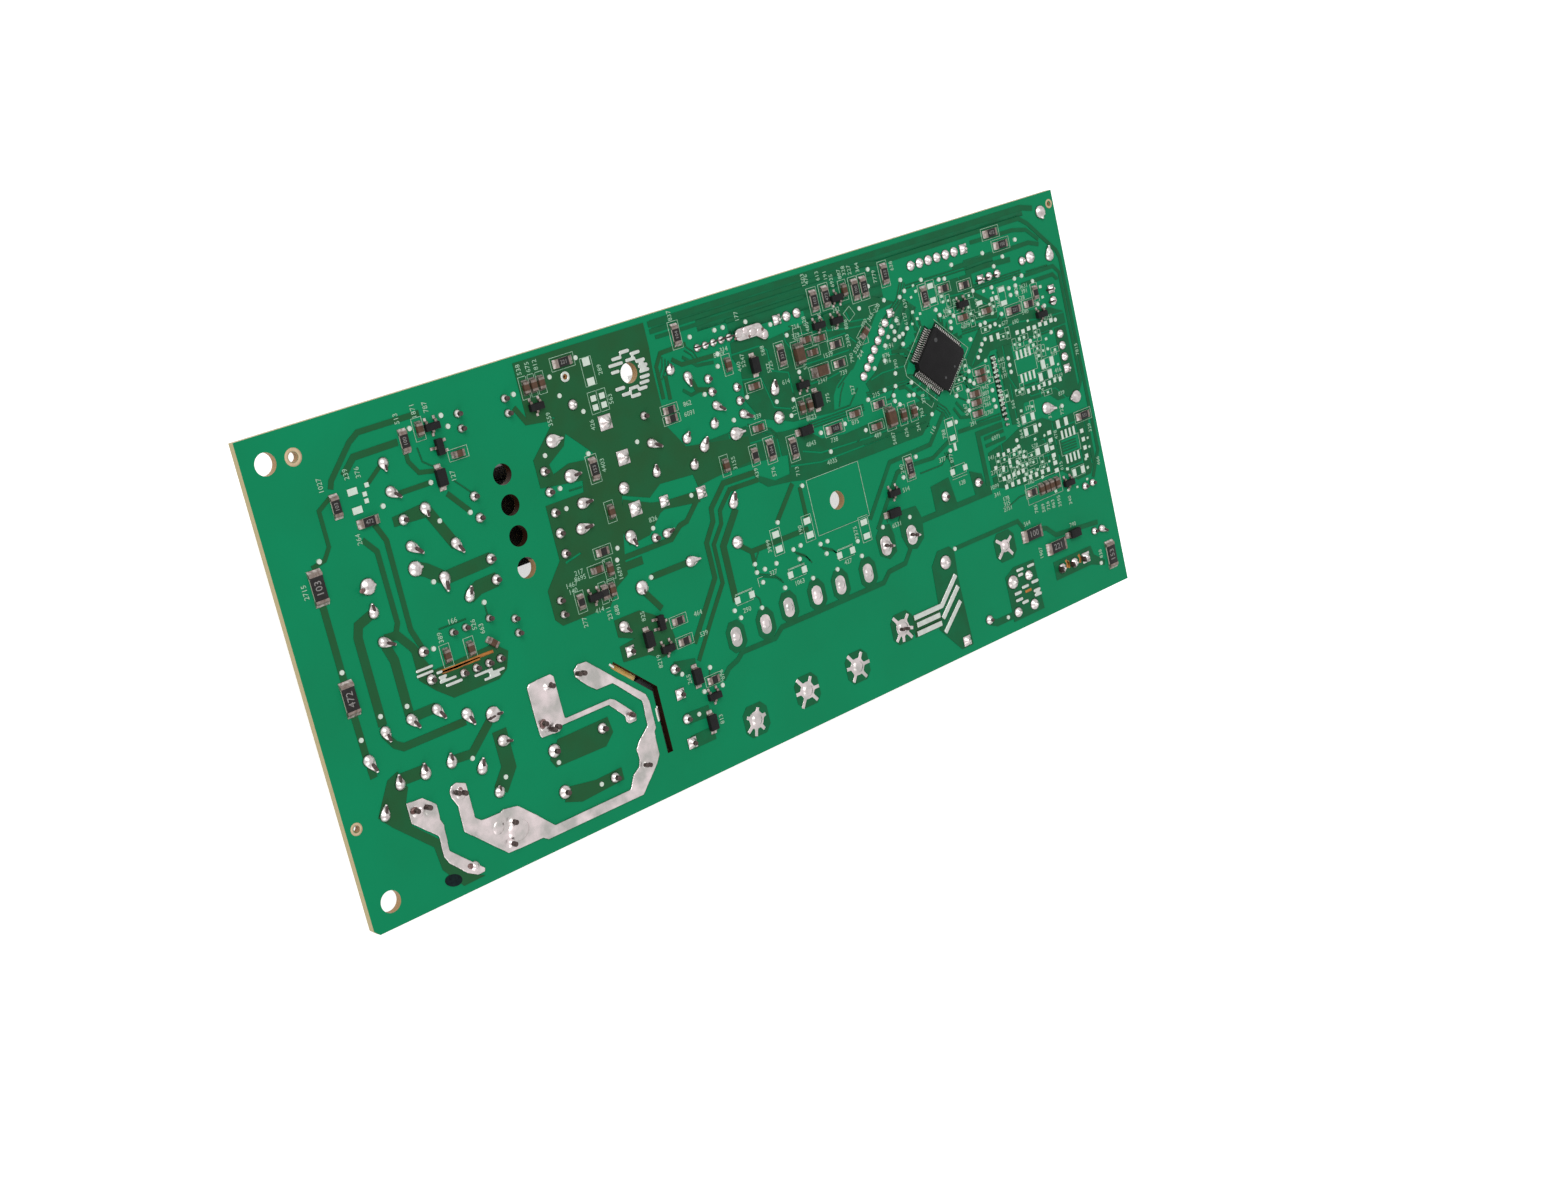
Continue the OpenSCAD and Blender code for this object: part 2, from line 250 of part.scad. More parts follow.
// ---- chip parts on the solder side: x, y, turn ----
res_1206 = [[14.8, 15.4, 90], [20, 19.6, 0], [30.7, 8.4, 90], [66.4, 3.6, 0], [67.3, 24.1, 90], [92.6, 5.2, 90], [116.4, 15.3, 90], [127.6, 7.1, 90],
  [130.8, 7, 90], [138.8, 7.5, 90], [141.2, 7.5, 90], [147.4, 6.3, 90], [108.5, 32.3, 90], [114.2, 33.6, 90], [125.6, 32.7, 0], [179.3, 4.9, 0],
  [181.7, 7.9, 0], [181.6, 22.1, 0], [156.9, 13.3, 90], [142.9, 46, 90], [196, 49.4, 0]];
res_0805 = [[87.2, 18.3, 0], [87.2, 20, 0], [130.8, 16.7, 0], [130.7, 20.6, 0], [64.8, 39.2, 0], [104.4, 32.2, 90], [138.6, 31.2, 0], [77.6, 57, 0],
  [77.9, 61.2, 0], [176.1, 61.1, 0], [162.8, 12.9, 0], [168.8, 13.6, 0], [82.3, 70.6, 0], [63, 46.6, 90],
  [57.4, 46.6, 90], [188.9, 20.1, 90], [186.5, 21.9, 0]];
cap_1206 = [[120.6, 16.2, 90], [125.2, 20.7, 0], [140.6, 34.6, 90]];
cap_0805 = [[34.1, 7.2, 90], [40.5, 13.4, 0], [57.3, 6, 90], [59, 6, 90], [60.7, 6, 90], [106.9, 27.3, 0], [68.6, 32.7, 90], [96.9, 32.1, 90], [32.6, 47, 90], [37.3, 47.5, -45],
  [27.7, 46.6, 90], [135.8, 6.9, 90], [131.7, 31.3, 0], [144.2, 35.1, 90], [147.2, 35.1, 90], [136.7, 35.3, 0], [103, 13.7, 90], [123.4, 13.9, 0], [127, 14.5, 0],
  [124.4, 16.7, 0], [118.5, 26.5, 90], [120.5, 26.5, 90], [138.8, 16.3, 40], [108.2, 19.3, 0], [165.3, 36.2, 0], [165.3, 38.1, 0], [165, 40.4, 0], [168.1, 32.2, 0],
  [168.1, 33.8, 0], [178.65, 61.3, 90], [180.35, 61.3, 90], [181.9, 61.3, 90], [183.7, 61.3, 90], [62.6, 42, 0], [65.2, 42.8, 90], [64.6, 46.6, 90], [173.6, 20.3, 0], [166.5, 20, 0]];
// One chip part: its body, or its two ends with the solder that runs off them.
module chip(l, w, h) { translate([0, 0, 0.12]) slab(l - 0.9, w, h); }
module chip_ends(l, w, h, reach = 0.9) for (s = [0, 180]) rotate([0, 0, s]) translate([l / 2 - 0.45, -w / 2, 0])
  rotate([90, 0, 0]) translate([0, 0, -w]) linear_extrude(w) polygon([[0, 0], [reach, 0], [reach - 0.05, 0.15], [0.45, h + 0.12], [0, h + 0.12]]);
module resistor_bodies() color([0.13, 0.13, 0.13]) { for (p = res_1206) on(p[0], p[1], p[2]) chip(3.2, 1.6, 0.5); for (p = res_0805) on(p[0], p[1], p[2]) chip(2.2, 1.4, 0.45); }
module resistor_ends() color([0.8, 0.78, 0.76]) { for (p = res_1206) on(p[0], p[1], p[2]) chip_ends(3.2, 1.6, 0.5, 1.1); for (p = res_0805) on(p[0], p[1], p[2]) chip_ends(2.2, 1.4, 0.45); }
module chip_capacitor_bodies() color([0.42, 0.29, 0.22]) { for (p = cap_1206) on(p[0], p[1], p[2]) chip(3.4, 2, 1.3); for (p = cap_0805) on(p[0], p[1], p[2]) chip(2, 1.2, 0.8); }
module chip_capacitor_ends() color([0.8, 0.78, 0.76]) { for (p = cap_1206) on(p[0], p[1], p[2]) chip_ends(3.4, 2, 1.1, 1); for (p = cap_0805) on(p[0], p[1], p[2]) chip_ends(2, 1.2, 0.7); }
big_res = [[7.5, 27.5, 90], [7.5, 47.4, 90], [173.5, 69.7, 0], [180, 74.6, 0], [196, 81.6, 90]];
module power_resistor_bodies() color([0.13, 0.13, 0.13]) for (p = big_res) on(p[0], p[1], p[2]) chip(5, 2.5, 0.6);
module power_resistor_ends() color([0.8, 0.76, 0.72]) for (p = big_res) on(p[0], p[1], p[2]) chip_ends(5, 2.6, 0.6, 1.2);
// Small transistors: x, y, turn, with the pair of leads at the top when the turn is 0.
sots = [[36.6, 7.4, 0], [37, 11.2, -90], [58.4, 9.8, 0], [127.2, 12, 0], [132, 12.2, 0], [133.3, 7.9, 180], [119.9, 22.2, 180], [60.5, 46.6, 0],
  [73.3, 56, 90], [73.4, 61.2, 0], [81.3, 73.6, 0], [137, 49.6, 0], [166.7, 17.3, 0], [187.2, 62.3, 0], [189.2, 25, 0]];
module transistor_bodies() color([0.12, 0.12, 0.12]) for (p = sots) on(p[0], p[1], p[2]) translate([0, 0, 0.12]) difference() {
  slab(2.9, 1.3, 0.95);
  for (s = [-1, 1]) translate([0, s * 0.65, 0.95]) rotate([45, 0, 0]) slab(3.2, 0.25, 0.2);
}
module gull(w) rotate([90, 0, 90]) translate([0, 0, -w / 2]) linear_extrude(w) polygon([[0, 0.55], [0.25, 0.55], [0.4, 0.15], [0.4, 0], [1.1, 0], [1.1, 0.2], [0.6, 0.25], [0.45, 0.7], [0, 0.7]]);
module transistor_leads() color([0.8, 0.78, 0.76]) for (p = sots) on(p[0], p[1], p[2]) {
  for (s = [-0.95, 0.95]) translate([s, 0.65, 0]) gull(0.5);
  rotate([0, 0, 180]) translate([0, 0.65, 0]) gull(0.5);
}
diodes = [[35.7, 16.4, 90], [109.2, 15.4, 90], [122.6, 26, 90], [118, 31, 0], [135.8, 53.5, 0], [78.4, 68.6, 90], [79.3, 78.3, 90], [185.8, 73.4, 0], [69.7, 58.1, 90]];
module diode_bodies() color([0.1, 0.1, 0.1]) for (p = diodes) on(p[0], p[1], p[2]) translate([0, 0, 0.15]) difference() {
  slab(3, 1.8, 1.1);
  for (s = [-1, 1]) translate([s * 1.5, 0, 1.1]) rotate([0, s * 45, 0]) slab(0.3, 3, 0.3);
}
module diode_leads() color([0.8, 0.78, 0.76]) for (p = diodes) on(p[0], p[1], p[2]) for (s = [0, 180]) rotate([0, 0, s]) translate([1.5, -0.65, 0])
  rotate([90, 0, 0]) translate([0, 0, -1.3]) linear_extrude(1.3) polygon([[0, 0], [0.95, 0], [0.85, 0.2], [0.25, 0.3], [0.2, 0.7], [0, 0.7]]);

// ---- controller: a square chip set at 45 degrees ----
chip_at = [156.9, 26.6];
module controller_body() color([0.14, 0.13, 0.14]) on(chip_at[0], chip_at[1], 45) translate([0, 0, 0.12]) difference() {
  slab(chip_s, chip_s, 1.4);
  translate([chip_s / 2 - 1.2, chip_s / 2 - 1.2, 1.3]) cylinder(r = 0.5, h = 1);
  for (a = [0:3]) rotate([0, 0, a * 90 + 45]) translate([chip_s / sqrt(2), 0, -1]) slab(1, 3, 3);
}
module controller_leads() color([0.78, 0.76, 0.75]) on(chip_at[0], chip_at[1], 45)
  for (a = [0:3]) rotate([0, 0, a * 90]) for (i = [0:chip_n - 1]) translate([(i - (chip_n - 1) / 2) * chip_p, chip_s / 2, 0]) gull_chip();
module gull_chip() rotate([90, 0, 90]) translate([0, 0, -0.11]) linear_extrude(0.22) polygon([[0, 0.75], [0.3, 0.75], [0.45, 0], [1.2, 0], [1.2, 0.18], [0.6, 0.2], [0.45, 0.9], [0, 0.9]]);

// ---- lacquered copper: width and points ----
mains_lines = [[1, [[14.8, 12.3], [15.3, 11], [20.5, 5.7], [22.5, 4.5], [35, 4.5]]], [1.2, [[17.8, 10.8], [20.5, 8.3], [29.5, 8.2]]],
  [0.75, [[14.6, 13.4], [11.6, 15.2], [11.6, 21.5], [10.2, 23.4], [7.5, 24]]], [0.75, [[25.5, 10.8], [22, 13.3]]], [0.9, [[26, 16.7], [33.7, 16.7]]],
  [0.8, [[30.5, 10.5], [30.5, 12], [32, 14.4], [35.3, 15]]], [1, [[36.3, 19.5], [39.8, 23.7]]], [2, [[31.5, 21], [35.3, 28.6]]],
  [1, [[18, 22.3], [20.1, 25], [20.2, 38], [19.2, 40]]], [1, [[21, 20.5], [22.4, 23.7], [22.3, 40], [23.5, 43.6]]],
  [1.3, [[7.5, 30.6], [7.5, 44.6]]], [1.3, [[7.5, 50.4], [7.6, 58]]], [1.7, [[16, 34.9], [12.9, 36], [12.2, 38], [12.2, 54]]],
  [1.8, [[16.8, 41], [17.7, 44], [17.7, 54]]], [1.5, [[17, 39.8], [19.5, 40], [21.7, 43], [22.6, 45]]], [2.4, [[26.5, 30.1], [28.3, 31], [31.5, 33.5], [41.4, 33.1]]],
  [2.6, [[35.2, 38.2], [37.5, 37.2], [41.6, 37]]], [1.4, [[12, 55.5], [13.5, 58], [15, 59], [28, 59]]], [1.8, [[17.7, 54.6], [23, 54.6]]],
  [2.2, [[12.3, 64.2], [17.6, 64.4]]], [1.6, [[23.1, 64.6], [27.5, 65], [32.5, 60.8]]], [3, [[34, 63], [34, 70], [31.2, 73.4]]], [1.4, [[7.8, 60], [7.9, 62]]]];
module mains_pours() {
  polygon([[24.6, 20.3], [31.8, 19.6], [32.3, 21.4], [31.2, 22.2], [24.6, 22]]);
  polygon([[21.3, 42.5], [23.5, 46], [24.5, 48.2], [37.5, 47.8], [40, 50], [38.8, 53], [36.8, 54.2], [27, 54.2], [24, 51.8], [21.3, 49]]);
  polygon([[10.2, 63.4], [12.5, 62.6], [13.6, 66], [12.4, 68.5], [12.4, 72.7], [16.7, 77], [16.7, 80.8], [20, 84.9], [23.6, 86.8], [19, 86.9], [15.8, 82.5], [15.4, 78], [8.7, 71.5], [6.6, 69]]);
  polygon([[45.3, 69], [56.8, 68.9], [57.2, 72], [55, 74], [43.5, 73.8], [42.6, 72]]);
  polygon([[45, 78.2], [51, 79.2], [57, 79], [57, 81.4], [47, 81.9], [43.4, 80.6]]);
}
supply_lines = [[1, [[54, 8.8], [55.8, 12], [60.5, 12.6], [69, 21.4]]], [1.1, [[104, 35.4], [95.5, 35.2], [91.3, 39], [91, 41.5], [88.3, 45], [88.3, 52], [82, 60], [80, 62.5]]],
  [0.9, [[104, 37], [96.6, 36.8], [93.2, 40], [92.8, 42.5], [89.9, 45.8], [89.8, 53.5], [85, 59.5], [80, 66]]], [1.5, [[97, 40.8], [92, 46.8], [91.9, 58]]],
  [1, [[96, 48], [98.3, 49.9], [113.4, 49.9]]], [0.9, [[98.4, 50], [98.4, 52.4]]], [1, [[112, 40.2], [106.2, 46.2]]], [0.9, [[113.6, 41.4], [113.6, 47.8]]],
  [1, [[69, 41.8], [80.6, 41.8], [83.2, 39.9], [85, 39.6], [89, 36]]], [1.5, [[68.5, 43.5], [73, 43.5]]], [1.2, [[74, 47.2], [82.5, 47.2]]],
  [1.2, [[71.8, 49.6], [74.6, 53.6]]], [1, [[75, 34.6], [81, 34.9], [89.5, 35.3]]], [0.8, [[77, 38.4], [77.4, 36.6], [80.5, 35.5]]],
  [0.8, [[86.5, 16], [86.6, 9.8], [88.2, 7.6], [94.5, 7.4]]], [0.8, [[88, 16.5], [88.2, 12]]], [0.8, [[90.5, 9.4], [92.5, 10.9], [101, 11.2]]], [0.9, [[94, 14.4], [94.6, 16.4], [97.7, 17.2]]]];
module supply_pours() {
  difference() {
    polygon([[56, 1.2], [86, 1.2], [86, 6], [85.6, 10], [85.6, 21], [89, 26], [104, 28.2], [104, 33], [95, 33.5], [89.5, 34], [89, 31.5], [81, 31], [78, 32.8], [72, 30.6], [70.8, 35],
      [69.2, 42], [69, 45], [66, 46.5], [63.5, 49.5], [52.5, 49.5], [51.2, 48], [51.2, 42.5], [55.3, 38], [55.3, 27.6], [64, 27.6], [64.4, 25.4], [55.2, 24.2], [55.2, 19], [62, 12.8], [60, 12], [56, 11.8]]);
    polygon([[62.3, 18.2], [63.6, 15.3], [69.2, 21.2], [66, 22], [62.3, 21.6], [58.6, 22.6], [58.2, 20.6]]);
    polygon([[56.4, 38.5], [60, 37.8], [60.2, 38.2], [56.4, 39]]);
  }
  polygon([[72, 31.4], [78, 33.8], [89.2, 36], [89.2, 37], [80, 35.8], [76, 39.5], [71, 40], [70, 36]]);
  polygon([[63.5, 52.3], [69.5, 52.3], [75.4, 56], [76.2, 62], [72, 62.6], [69.2, 61], [63.3, 60.4], [63.3, 57.4], [67, 57], [63.5, 55.6]]);
}
logic_lines = [[1, [[84.5, 71.5], [86.5, 69.8], [89, 69], [90.5, 67.9], [99.2, 68], [101.3, 66.5], [129.5, 66.5], [131.5, 64.8], [136.3, 64.5], [139.5, 61]]],
  [0.9, [[150.4, 65.9], [170, 65.9], [171.4, 68]]], [1, [[176, 69.4], [178, 69.9], [180.5, 72.2], [194, 73.4]]], [1.5, [[156, 83.9], [158, 84.9], [164, 84.9]]],
  [1.2, [[141.5, 57.4], [163.8, 57.4], [163.8, 44.7], [171.4, 44.7]]], [0.8, [[158.5, 42.7], [171.5, 43.2]]], [0.9, [[129.6, 53], [138, 43.4], [150, 43], [155.6, 37.6]]],
  [0.9, [[131, 55.6], [139.4, 46], [142, 45.6]]], [0.8, [[144, 45.6], [150, 45.9], [155.8, 43.6]]], [2.8, [[74, 65.6], [79, 66.6]]], [2.2, [[74, 75.7], [79.6, 76]]],
  [2.6, [[74, 80.5], [79.6, 80.5]]], [1.1, [[87, 1.8], [190, 1.8], [193.2, 2.6]]], [0.9, [[87, 3.2], [143, 3.2], [146, 3.8], [188.4, 3.8], [190.8, 5.4], [197.9, 12.8], [198.6, 14.6], [198.6, 58], [195.4, 63.4]]],
  [0.7, [[88, 4.5], [126, 4.5]]], [0.7, [[105, 5.7], [125.4, 5.7]]], [0.8, [[173, 5.6], [186, 5.8], [190, 6.6], [193.2, 9.4]]], [0.9, [[166.6, 9.6], [190, 9.4], [193, 10.4]]],
  [1.1, [[170, 11.4], [176, 11.2], [183.6, 11.6]]], [0.8, [[187, 15.9], [196, 15.9], [197.5, 17.6], [197.5, 42], [196.4, 43.6]]], [0.8, [[185.4, 17.6], [195.4, 17.6], [196.4, 18.8], [196.4, 19]]],
  [0.7, [[150.6, 12.4], [152.6, 14.6], [152.8, 19.4]]], [0.7, [[145, 22], [148.6, 22.6], [149.6, 24.4]]], [0.7, [[143.4, 27.2], [147, 27.4], [150, 29.6]]], [0.6, [[144.8, 29.6], [146.6, 29.8], [150.2, 33.4]]],
  [0.6, [[159.6, 36.6], [161.2, 38.8], [162.6, 39.4]]], [0.6, [[158.6, 37.6], [160, 40], [163, 40.6]]], [0.7, [[165.4, 46.2], [171.4, 46]]], [0.7, [[165.4, 47.8], [171.6, 47.6]]],
  [0.6, [[93, 9.6], [96, 12], [100, 12.4]]], [0.6, [[91.4, 15.6], [93, 17], [96, 16.6]]]];
// Clearances that part the fine copper of the logic side.
logic_gaps = [[[104, 12.2], [111.6, 12.2], [113.4, 13.4], [113.4, 17.6], [117.4, 19], [117.4, 30]], [[105.6, 17.4], [110.4, 18.2], [112, 24.6], [116, 26]],
  [[118.4, 10.4], [118.4, 13], [121.6, 18.6], [128.6, 18.7], [134.6, 18.7], [136, 20.8]], [[122, 10], [122, 12.4], [134.4, 14.4], [139.6, 15]], [[124.6, 9.4], [124.6, 12.6]],
  [[126, 15.4], [133.8, 15.2], [136.4, 17.8]], [[121.8, 22.6], [127.2, 22.8], [131.4, 22.2]], [[134.9, 10], [136, 13.4], [142, 14]], [[128.8, 9.6], [129.6, 13.6]],
  [[94, 29.6], [101.6, 29.6], [106, 29.8], [110.8, 30]], [[99.6, 26.4], [99.6, 34]], [[110.9, 29], [110.9, 35]], [[112.6, 36.8], [120.6, 38.2], [150.2, 38.2]],
  [[116.4, 34.8], [121, 36.4], [134, 37], [150.8, 36.8]], [[134.6, 33.8], [134.6, 37]], [[142.5, 33], [142.5, 37]], [[138, 26], [141.4, 25.4], [148, 25.6]]];
right_gaps = [[[163, 14.9], [168, 15.2], [171.4, 17.2], [176.8, 20.9]], [[167.6, 11.6], [167.9, 12.2]], [[166.4, 30.4], [171.6, 25.2], [182, 24.9], [190, 26], [196.6, 26.2]], [[177.6, 23], [177.6, 25]],
  [[176.2, 28.6], [176.2, 35.4], [178, 39], [192, 39.2]], [[180.4, 38.6], [181.6, 41.2], [189.4, 41.4], [192.4, 44.6]], [[176.2, 37], [176, 46]], [[183.6, 38], [185, 42.4]], [[194.2, 28.8], [194.2, 29.2]],
  [[169.9, 48.4], [170, 52], [172.2, 54.3], [172.2, 59]], [[166.8, 51.9], [176.4, 51.8], [178.4, 54.6], [184, 54.9]], [[165.4, 54.6], [170.6, 54.5]], [[175.3, 54], [176.6, 56.8], [183.2, 56.6]],
  [[177.8, 46.6], [179.4, 50.2], [183, 51.2], [183, 59]], [[186.2, 48.2], [186.4, 59.4]], [[186.2, 50.2], [197.4, 50]], [[193.2, 50], [193.2, 62.4]], [[196, 50], [196, 60.4]], [[187, 59.2], [193.2, 59.2]]];
module logic_pours() {
  difference() {
    union() {
      polygon([[94, 26.4], [104, 26.2], [107.8, 28.9], [113, 29.8], [117, 30], [122, 33.8], [128, 34.6], [151, 33.6], [155, 35.2], [148.5, 40.5], [116, 40.5], [112, 39.7], [106, 39], [103.4, 36.9], [103.4, 35.8], [108, 38.4], [112, 38.2], [112.6, 34.4], [105, 33.6], [94, 33.4]]);
      polygon([[105, 9.9], [113.6, 9.9], [114.4, 11.6], [126, 10.6], [142, 9.4], [148.6, 12.4], [143.6, 13], [134, 22.6], [129.6, 23.6], [127.4, 26.4], [126.6, 29.6], [116, 28.6], [108, 25.8], [105.4, 21.6], [106, 15.4], [104.6, 12.8]]);
      polygon([[136.4, 26.4], [139.4, 24.9], [142, 22.4], [146.8, 22.8], [149, 25], [146.6, 28.4], [140, 28.2], [137.4, 29]]);
    }
    for (g = logic_gaps) ribbon(0.4, g);
  }
  polygon([[143.2, 67.5], [145.5, 64.9], [149, 64.9], [150.2, 66.2], [149.7, 72], [150, 86.9], [146.6, 86.9], [141.5, 80.8], [142.6, 79.5], [142.8, 74]]);
  polygon([[163, 76.4], [166, 75], [172.3, 75.2], [172.6, 86.4], [163, 86.4]]);
  polygon([[178, 77.8], [190.3, 77.8], [190.8, 80], [194, 82.3], [193.5, 83.3], [189.5, 81.9], [178, 81.9]]);
  polygon([[147.6, 51.5], [153, 51], [154, 57.3], [147.6, 57.3]]);
  polygon([[159.2, 51.5], [162.5, 53], [163.5, 57.3], [159.6, 57.3]]);
  polygon([[137, 55.4], [138.5, 53.8], [142.4, 54], [143.4, 57], [142.8, 61], [140.4, 62.6], [138, 62], [136.9, 59]]);
  polygon([[130, 57], [131.6, 55.2], [134.4, 55.4], [135, 58], [134.8, 61.4], [132.6, 62.4], [130.2, 61]]);
  for (p = [for (i = [0:5]) ovals[i]]) translate(p) polygon([[-2.3, -1.6], [-1.1, -3.2], [1.1, -3.2], [2.3, -1.6], [2.3, 1.6], [1.1, 3], [-1.1, 3], [-2.3, 1.6]]);
  for (p = stars) translate(p[0]) polygon([[-3.1, -1.8], [-1.8, -3.2], [1.8, -3.2], [3.1, -1.8], [3.1, 1.8], [1.8, 3.2], [-1.8, 3.2], [-3.1, 1.8]]);
  difference() {
    union() {
      polygon([[163.4, 11.7], [171.4, 11.8], [171.6, 16], [176.8, 19.4], [176.4, 22.6], [170, 21.6], [166, 18.8], [163.4, 16.6]]);
      polygon([[164.6, 29.2], [169.4, 24.4], [171.4, 22.8], [186.4, 23.4], [192.4, 24.2], [196.4, 26], [196.4, 28.6], [172.4, 28.8], [171, 30], [166.4, 31]]);
      polygon([[174.4, 28.8], [178.6, 28.8], [178.8, 38.4], [192.6, 38.6], [192.6, 29], [196.2, 29], [196.4, 44.4], [189.4, 44.2], [187, 42.2], [179, 42], [177.6, 46], [174.4, 45.6]]);
      polygon([[165.6, 49.4], [171.4, 48.4], [176, 46.8], [183.6, 46.6], [186.6, 48.2], [197.4, 48], [197.2, 59.4], [195, 62.4], [190.6, 62.6], [186.4, 59.4], [170.5, 58.6], [165.4, 57]]);
    }
    for (g = right_gaps) ribbon(0.4, g);
    translate([182, 33.4]) square([5.6, 2.6], center = true);
    translate([190.4, 54.5]) square([5.2, 3.2], center = true);
  }
}
// Everything that stands on the copper, so that the lacquered copper stops at its edge.
module taken(part) {
  holes();
  ribbon(slot_w + 0.6, slot);
  for (j = part == 0 ? mains : part == 1 ? supply : logic) { translate([j[0], j[1]]) circle(r = j[2]); if (norm([j[3], j[4]]) > 0) translate([j[0], j[1]]) rotate(atan2(j[4], j[3])) polygon(run_out(j[2], norm([j[3], j[4]]))); }
  for (j = part == 0 ? [] : part == 1 ? squares_s : squares_l) translate([j[0], j[1]]) square(j[2], center = true);
  if (part > 0) for (j = rows) translate([j[0], j[1]]) circle(r = j[2]);
  if (part > 0) { pill(109.6, 8.9, 7, 2.4, 0); pill(112.4, 9.7, 4, 2, 35); }
  for (p = tests) translate([p[0], p[1]]) circle(r = 0.52);
  if (part > 0) for (p = bare) translate([p[0], p[1]]) square([p[2], p[3]], center = true);
  for (p = res_1206) cut_ends(p, 3.2, 1.6, 1.1);
  for (p = res_0805) cut_ends(p, 2.2, 1.4, 0.9);
  for (p = cap_1206) cut_ends(p, 3.4, 2, 1);
  for (p = cap_0805) cut_ends(p, 2, 1.2, 0.9);
  for (p = big_res) cut_ends(p, 5, 2.6, 1.2);
  for (p = diodes) translate([p[0], p[1]]) rotate(-p[2]) square([4.9, 1.3], center = true);
  for (p = sots) translate([p[0], p[1]]) rotate(-p[2]) { for (s = [-0.95, 0.95]) translate([s, -1.4]) square([0.5, 0.8], center = true); translate([0, 1.4]) square([0.5, 0.8], center = true); }
  if (part == 2) { for (p = ovals) oval_shape(p); for (p = stars) star_shape(p); translate(chip_at) rotate(45) square(chip_s + 2.6, center = true); }
  bar_shapes();
  tinned_shapes();
}
module cut_ends(p, l, w, reach) translate([p[0], p[1]]) rotate(-p[2]) for (s = [-1, 1]) translate([s * (l / 2 - 0.45 + reach / 2), 0]) square([reach, w], center = true);
module mains_tracks() color([0.12, 0.33, 0.18]) translate([0, 0, z1]) linear_extrude(copper_t) flat() difference() { union() { for (t = mains_lines) ribbon(t[0], t[1]); mains_pours(); } taken(0); }
module supply_tracks() color([0.12, 0.33, 0.18]) translate([0, 0, z1]) linear_extrude(copper_t) flat() difference() { union() { for (t = supply_lines) ribbon(t[0], t[1]); supply_pours(); } taken(1); }
module logic_tracks() color([0.12, 0.33, 0.18]) translate([0, 0, z1]) linear_extrude(copper_t) flat() difference() {
  union() { for (t = logic_lines) ribbon(t[0], t[1]); logic_pours(); }
  taken(2);
  taken(1);
  for (t = supply_lines) ribbon(t[0], t[1]);
  supply_pours();
}

// ---- component side: transformer over the vent holes ----
tf = [49.1, 29.25];
tf_rows = [-7.7, 7.7];
module tf_core_legs(g = 0) for (s = [-1, 0, 1]) translate([0, s * 8.3, -14.5 - g]) slab(16.4, (s == 0 ? 4.8 : 2.4) + 2 * g, 5 + 2 * g);
module transformer_core() color([0.2, 0.2, 0.21]) under(tf[0], tf[1]) {
  tf_core_legs();
  for (s = [-1, 1]) translate([s * 7.1, 0, -14.5]) slab(2.2, 19, 5);
}
module transformer_bobbin() color([0.12, 0.12, 0.12]) under(tf[0], tf[1]) difference() {
  union() {
    for (s = [-1, 1]) translate([s * 5.3, 0, -tall]) slab(1, 13.8, tall - 1);
    for (s = [-1, 1]) translate([s * 7.2, 0, -5]) slab(3.8, 19, 4.4);
    translate([0, 0, -15.2]) slab(11, 6.2, 6.4);
  }
  tf_core_legs();
  for (s = tf_rows) for (y = [-7.8, -3.9, 0, 3.9, 7.8]) translate([s, y, -6]) cylinder(r = 0.4, h = 6);
}
module transformer_winding() color([0.1, 0.08, 0.06]) under(tf[0], tf[1]) difference() {
  translate([-4.8, 0, -12]) rotate([0, 90, 0]) linear_extrude(9.6) difference() { square([14.4, 13.2], center = true); for (a = [-1, 1]) for (b = [-1, 1]) translate([a * 7.2, b * 6.6]) rotate(45) square(1.6, center = true); }
  translate([0, 0, -15.2]) slab(12, 6.2, 6.4);
}
// The fourth pin of the mains row is left out.
module transformer_pins() color([0.8, 0.78, 0.76]) under(tf[0], tf[1]) {
  for (y = [7.8, 3.9, -3.9, -7.8]) translate([tf_rows[0], y, 0]) pin(0.4, 0, 4);
  for (y = [-7.8, -3.9, 0, 3.9, 7.8]) translate([tf_rows[1], y, 0]) pin(0.4, 0, 4);
}

// ---- chips in moulded cases with leads through the board ----
module switcher_body() color([0.13, 0.13, 0.13]) under(34, 46.9) difference() { drop(9.6, 6.4, 0.6, 3.9); translate([-4.8, 0, -4.2]) cylinder(r = 0.8, h = 1); }
optos = [[47.4, 8.05], [48.1, 46.25]];
module optocoupler_bodies() color([0.14, 0.14, 0.14]) for (p = optos) under(p[0], p[1]) difference() { drop(6.4, 4.6, 0.6, 4.1); translate([-2.2, 1.4, -4.4]) cylinder(r = 0.5, h = 0.6); }
// Leads from a case's side, half its width from the middle, bent down through the board at reach r.
module dip_leg(x, half, r) translate([x, 0, 0]) rotate([90, 0, 90]) translate([0, 0, -0.25]) linear_extrude(0.5) polygon([[r - 0.13, 0], [r - 0.13, -2.1], [half, -2.1], [half, -2.4], [r + 0.13, -2.4], [r + 0.13, 0]]);
module dip_leads() color([0.8, 0.78, 0.76]) {
  under(34, 46.9) { for (x = [-3.9, -1.2, 3.9]) dip_leg(x, 3.2, 3.81); rotate([0, 0, 180]) for (x = [3.9, 1.2, -1.5, -4]) dip_leg(x, 3.2, 3.81); }
  for (p = optos) for (a = [90, -90]) under(p[0], p[1], a) for (x = [-1.35, 1.35]) dip_leg(x, 3.2, 5.05);
}

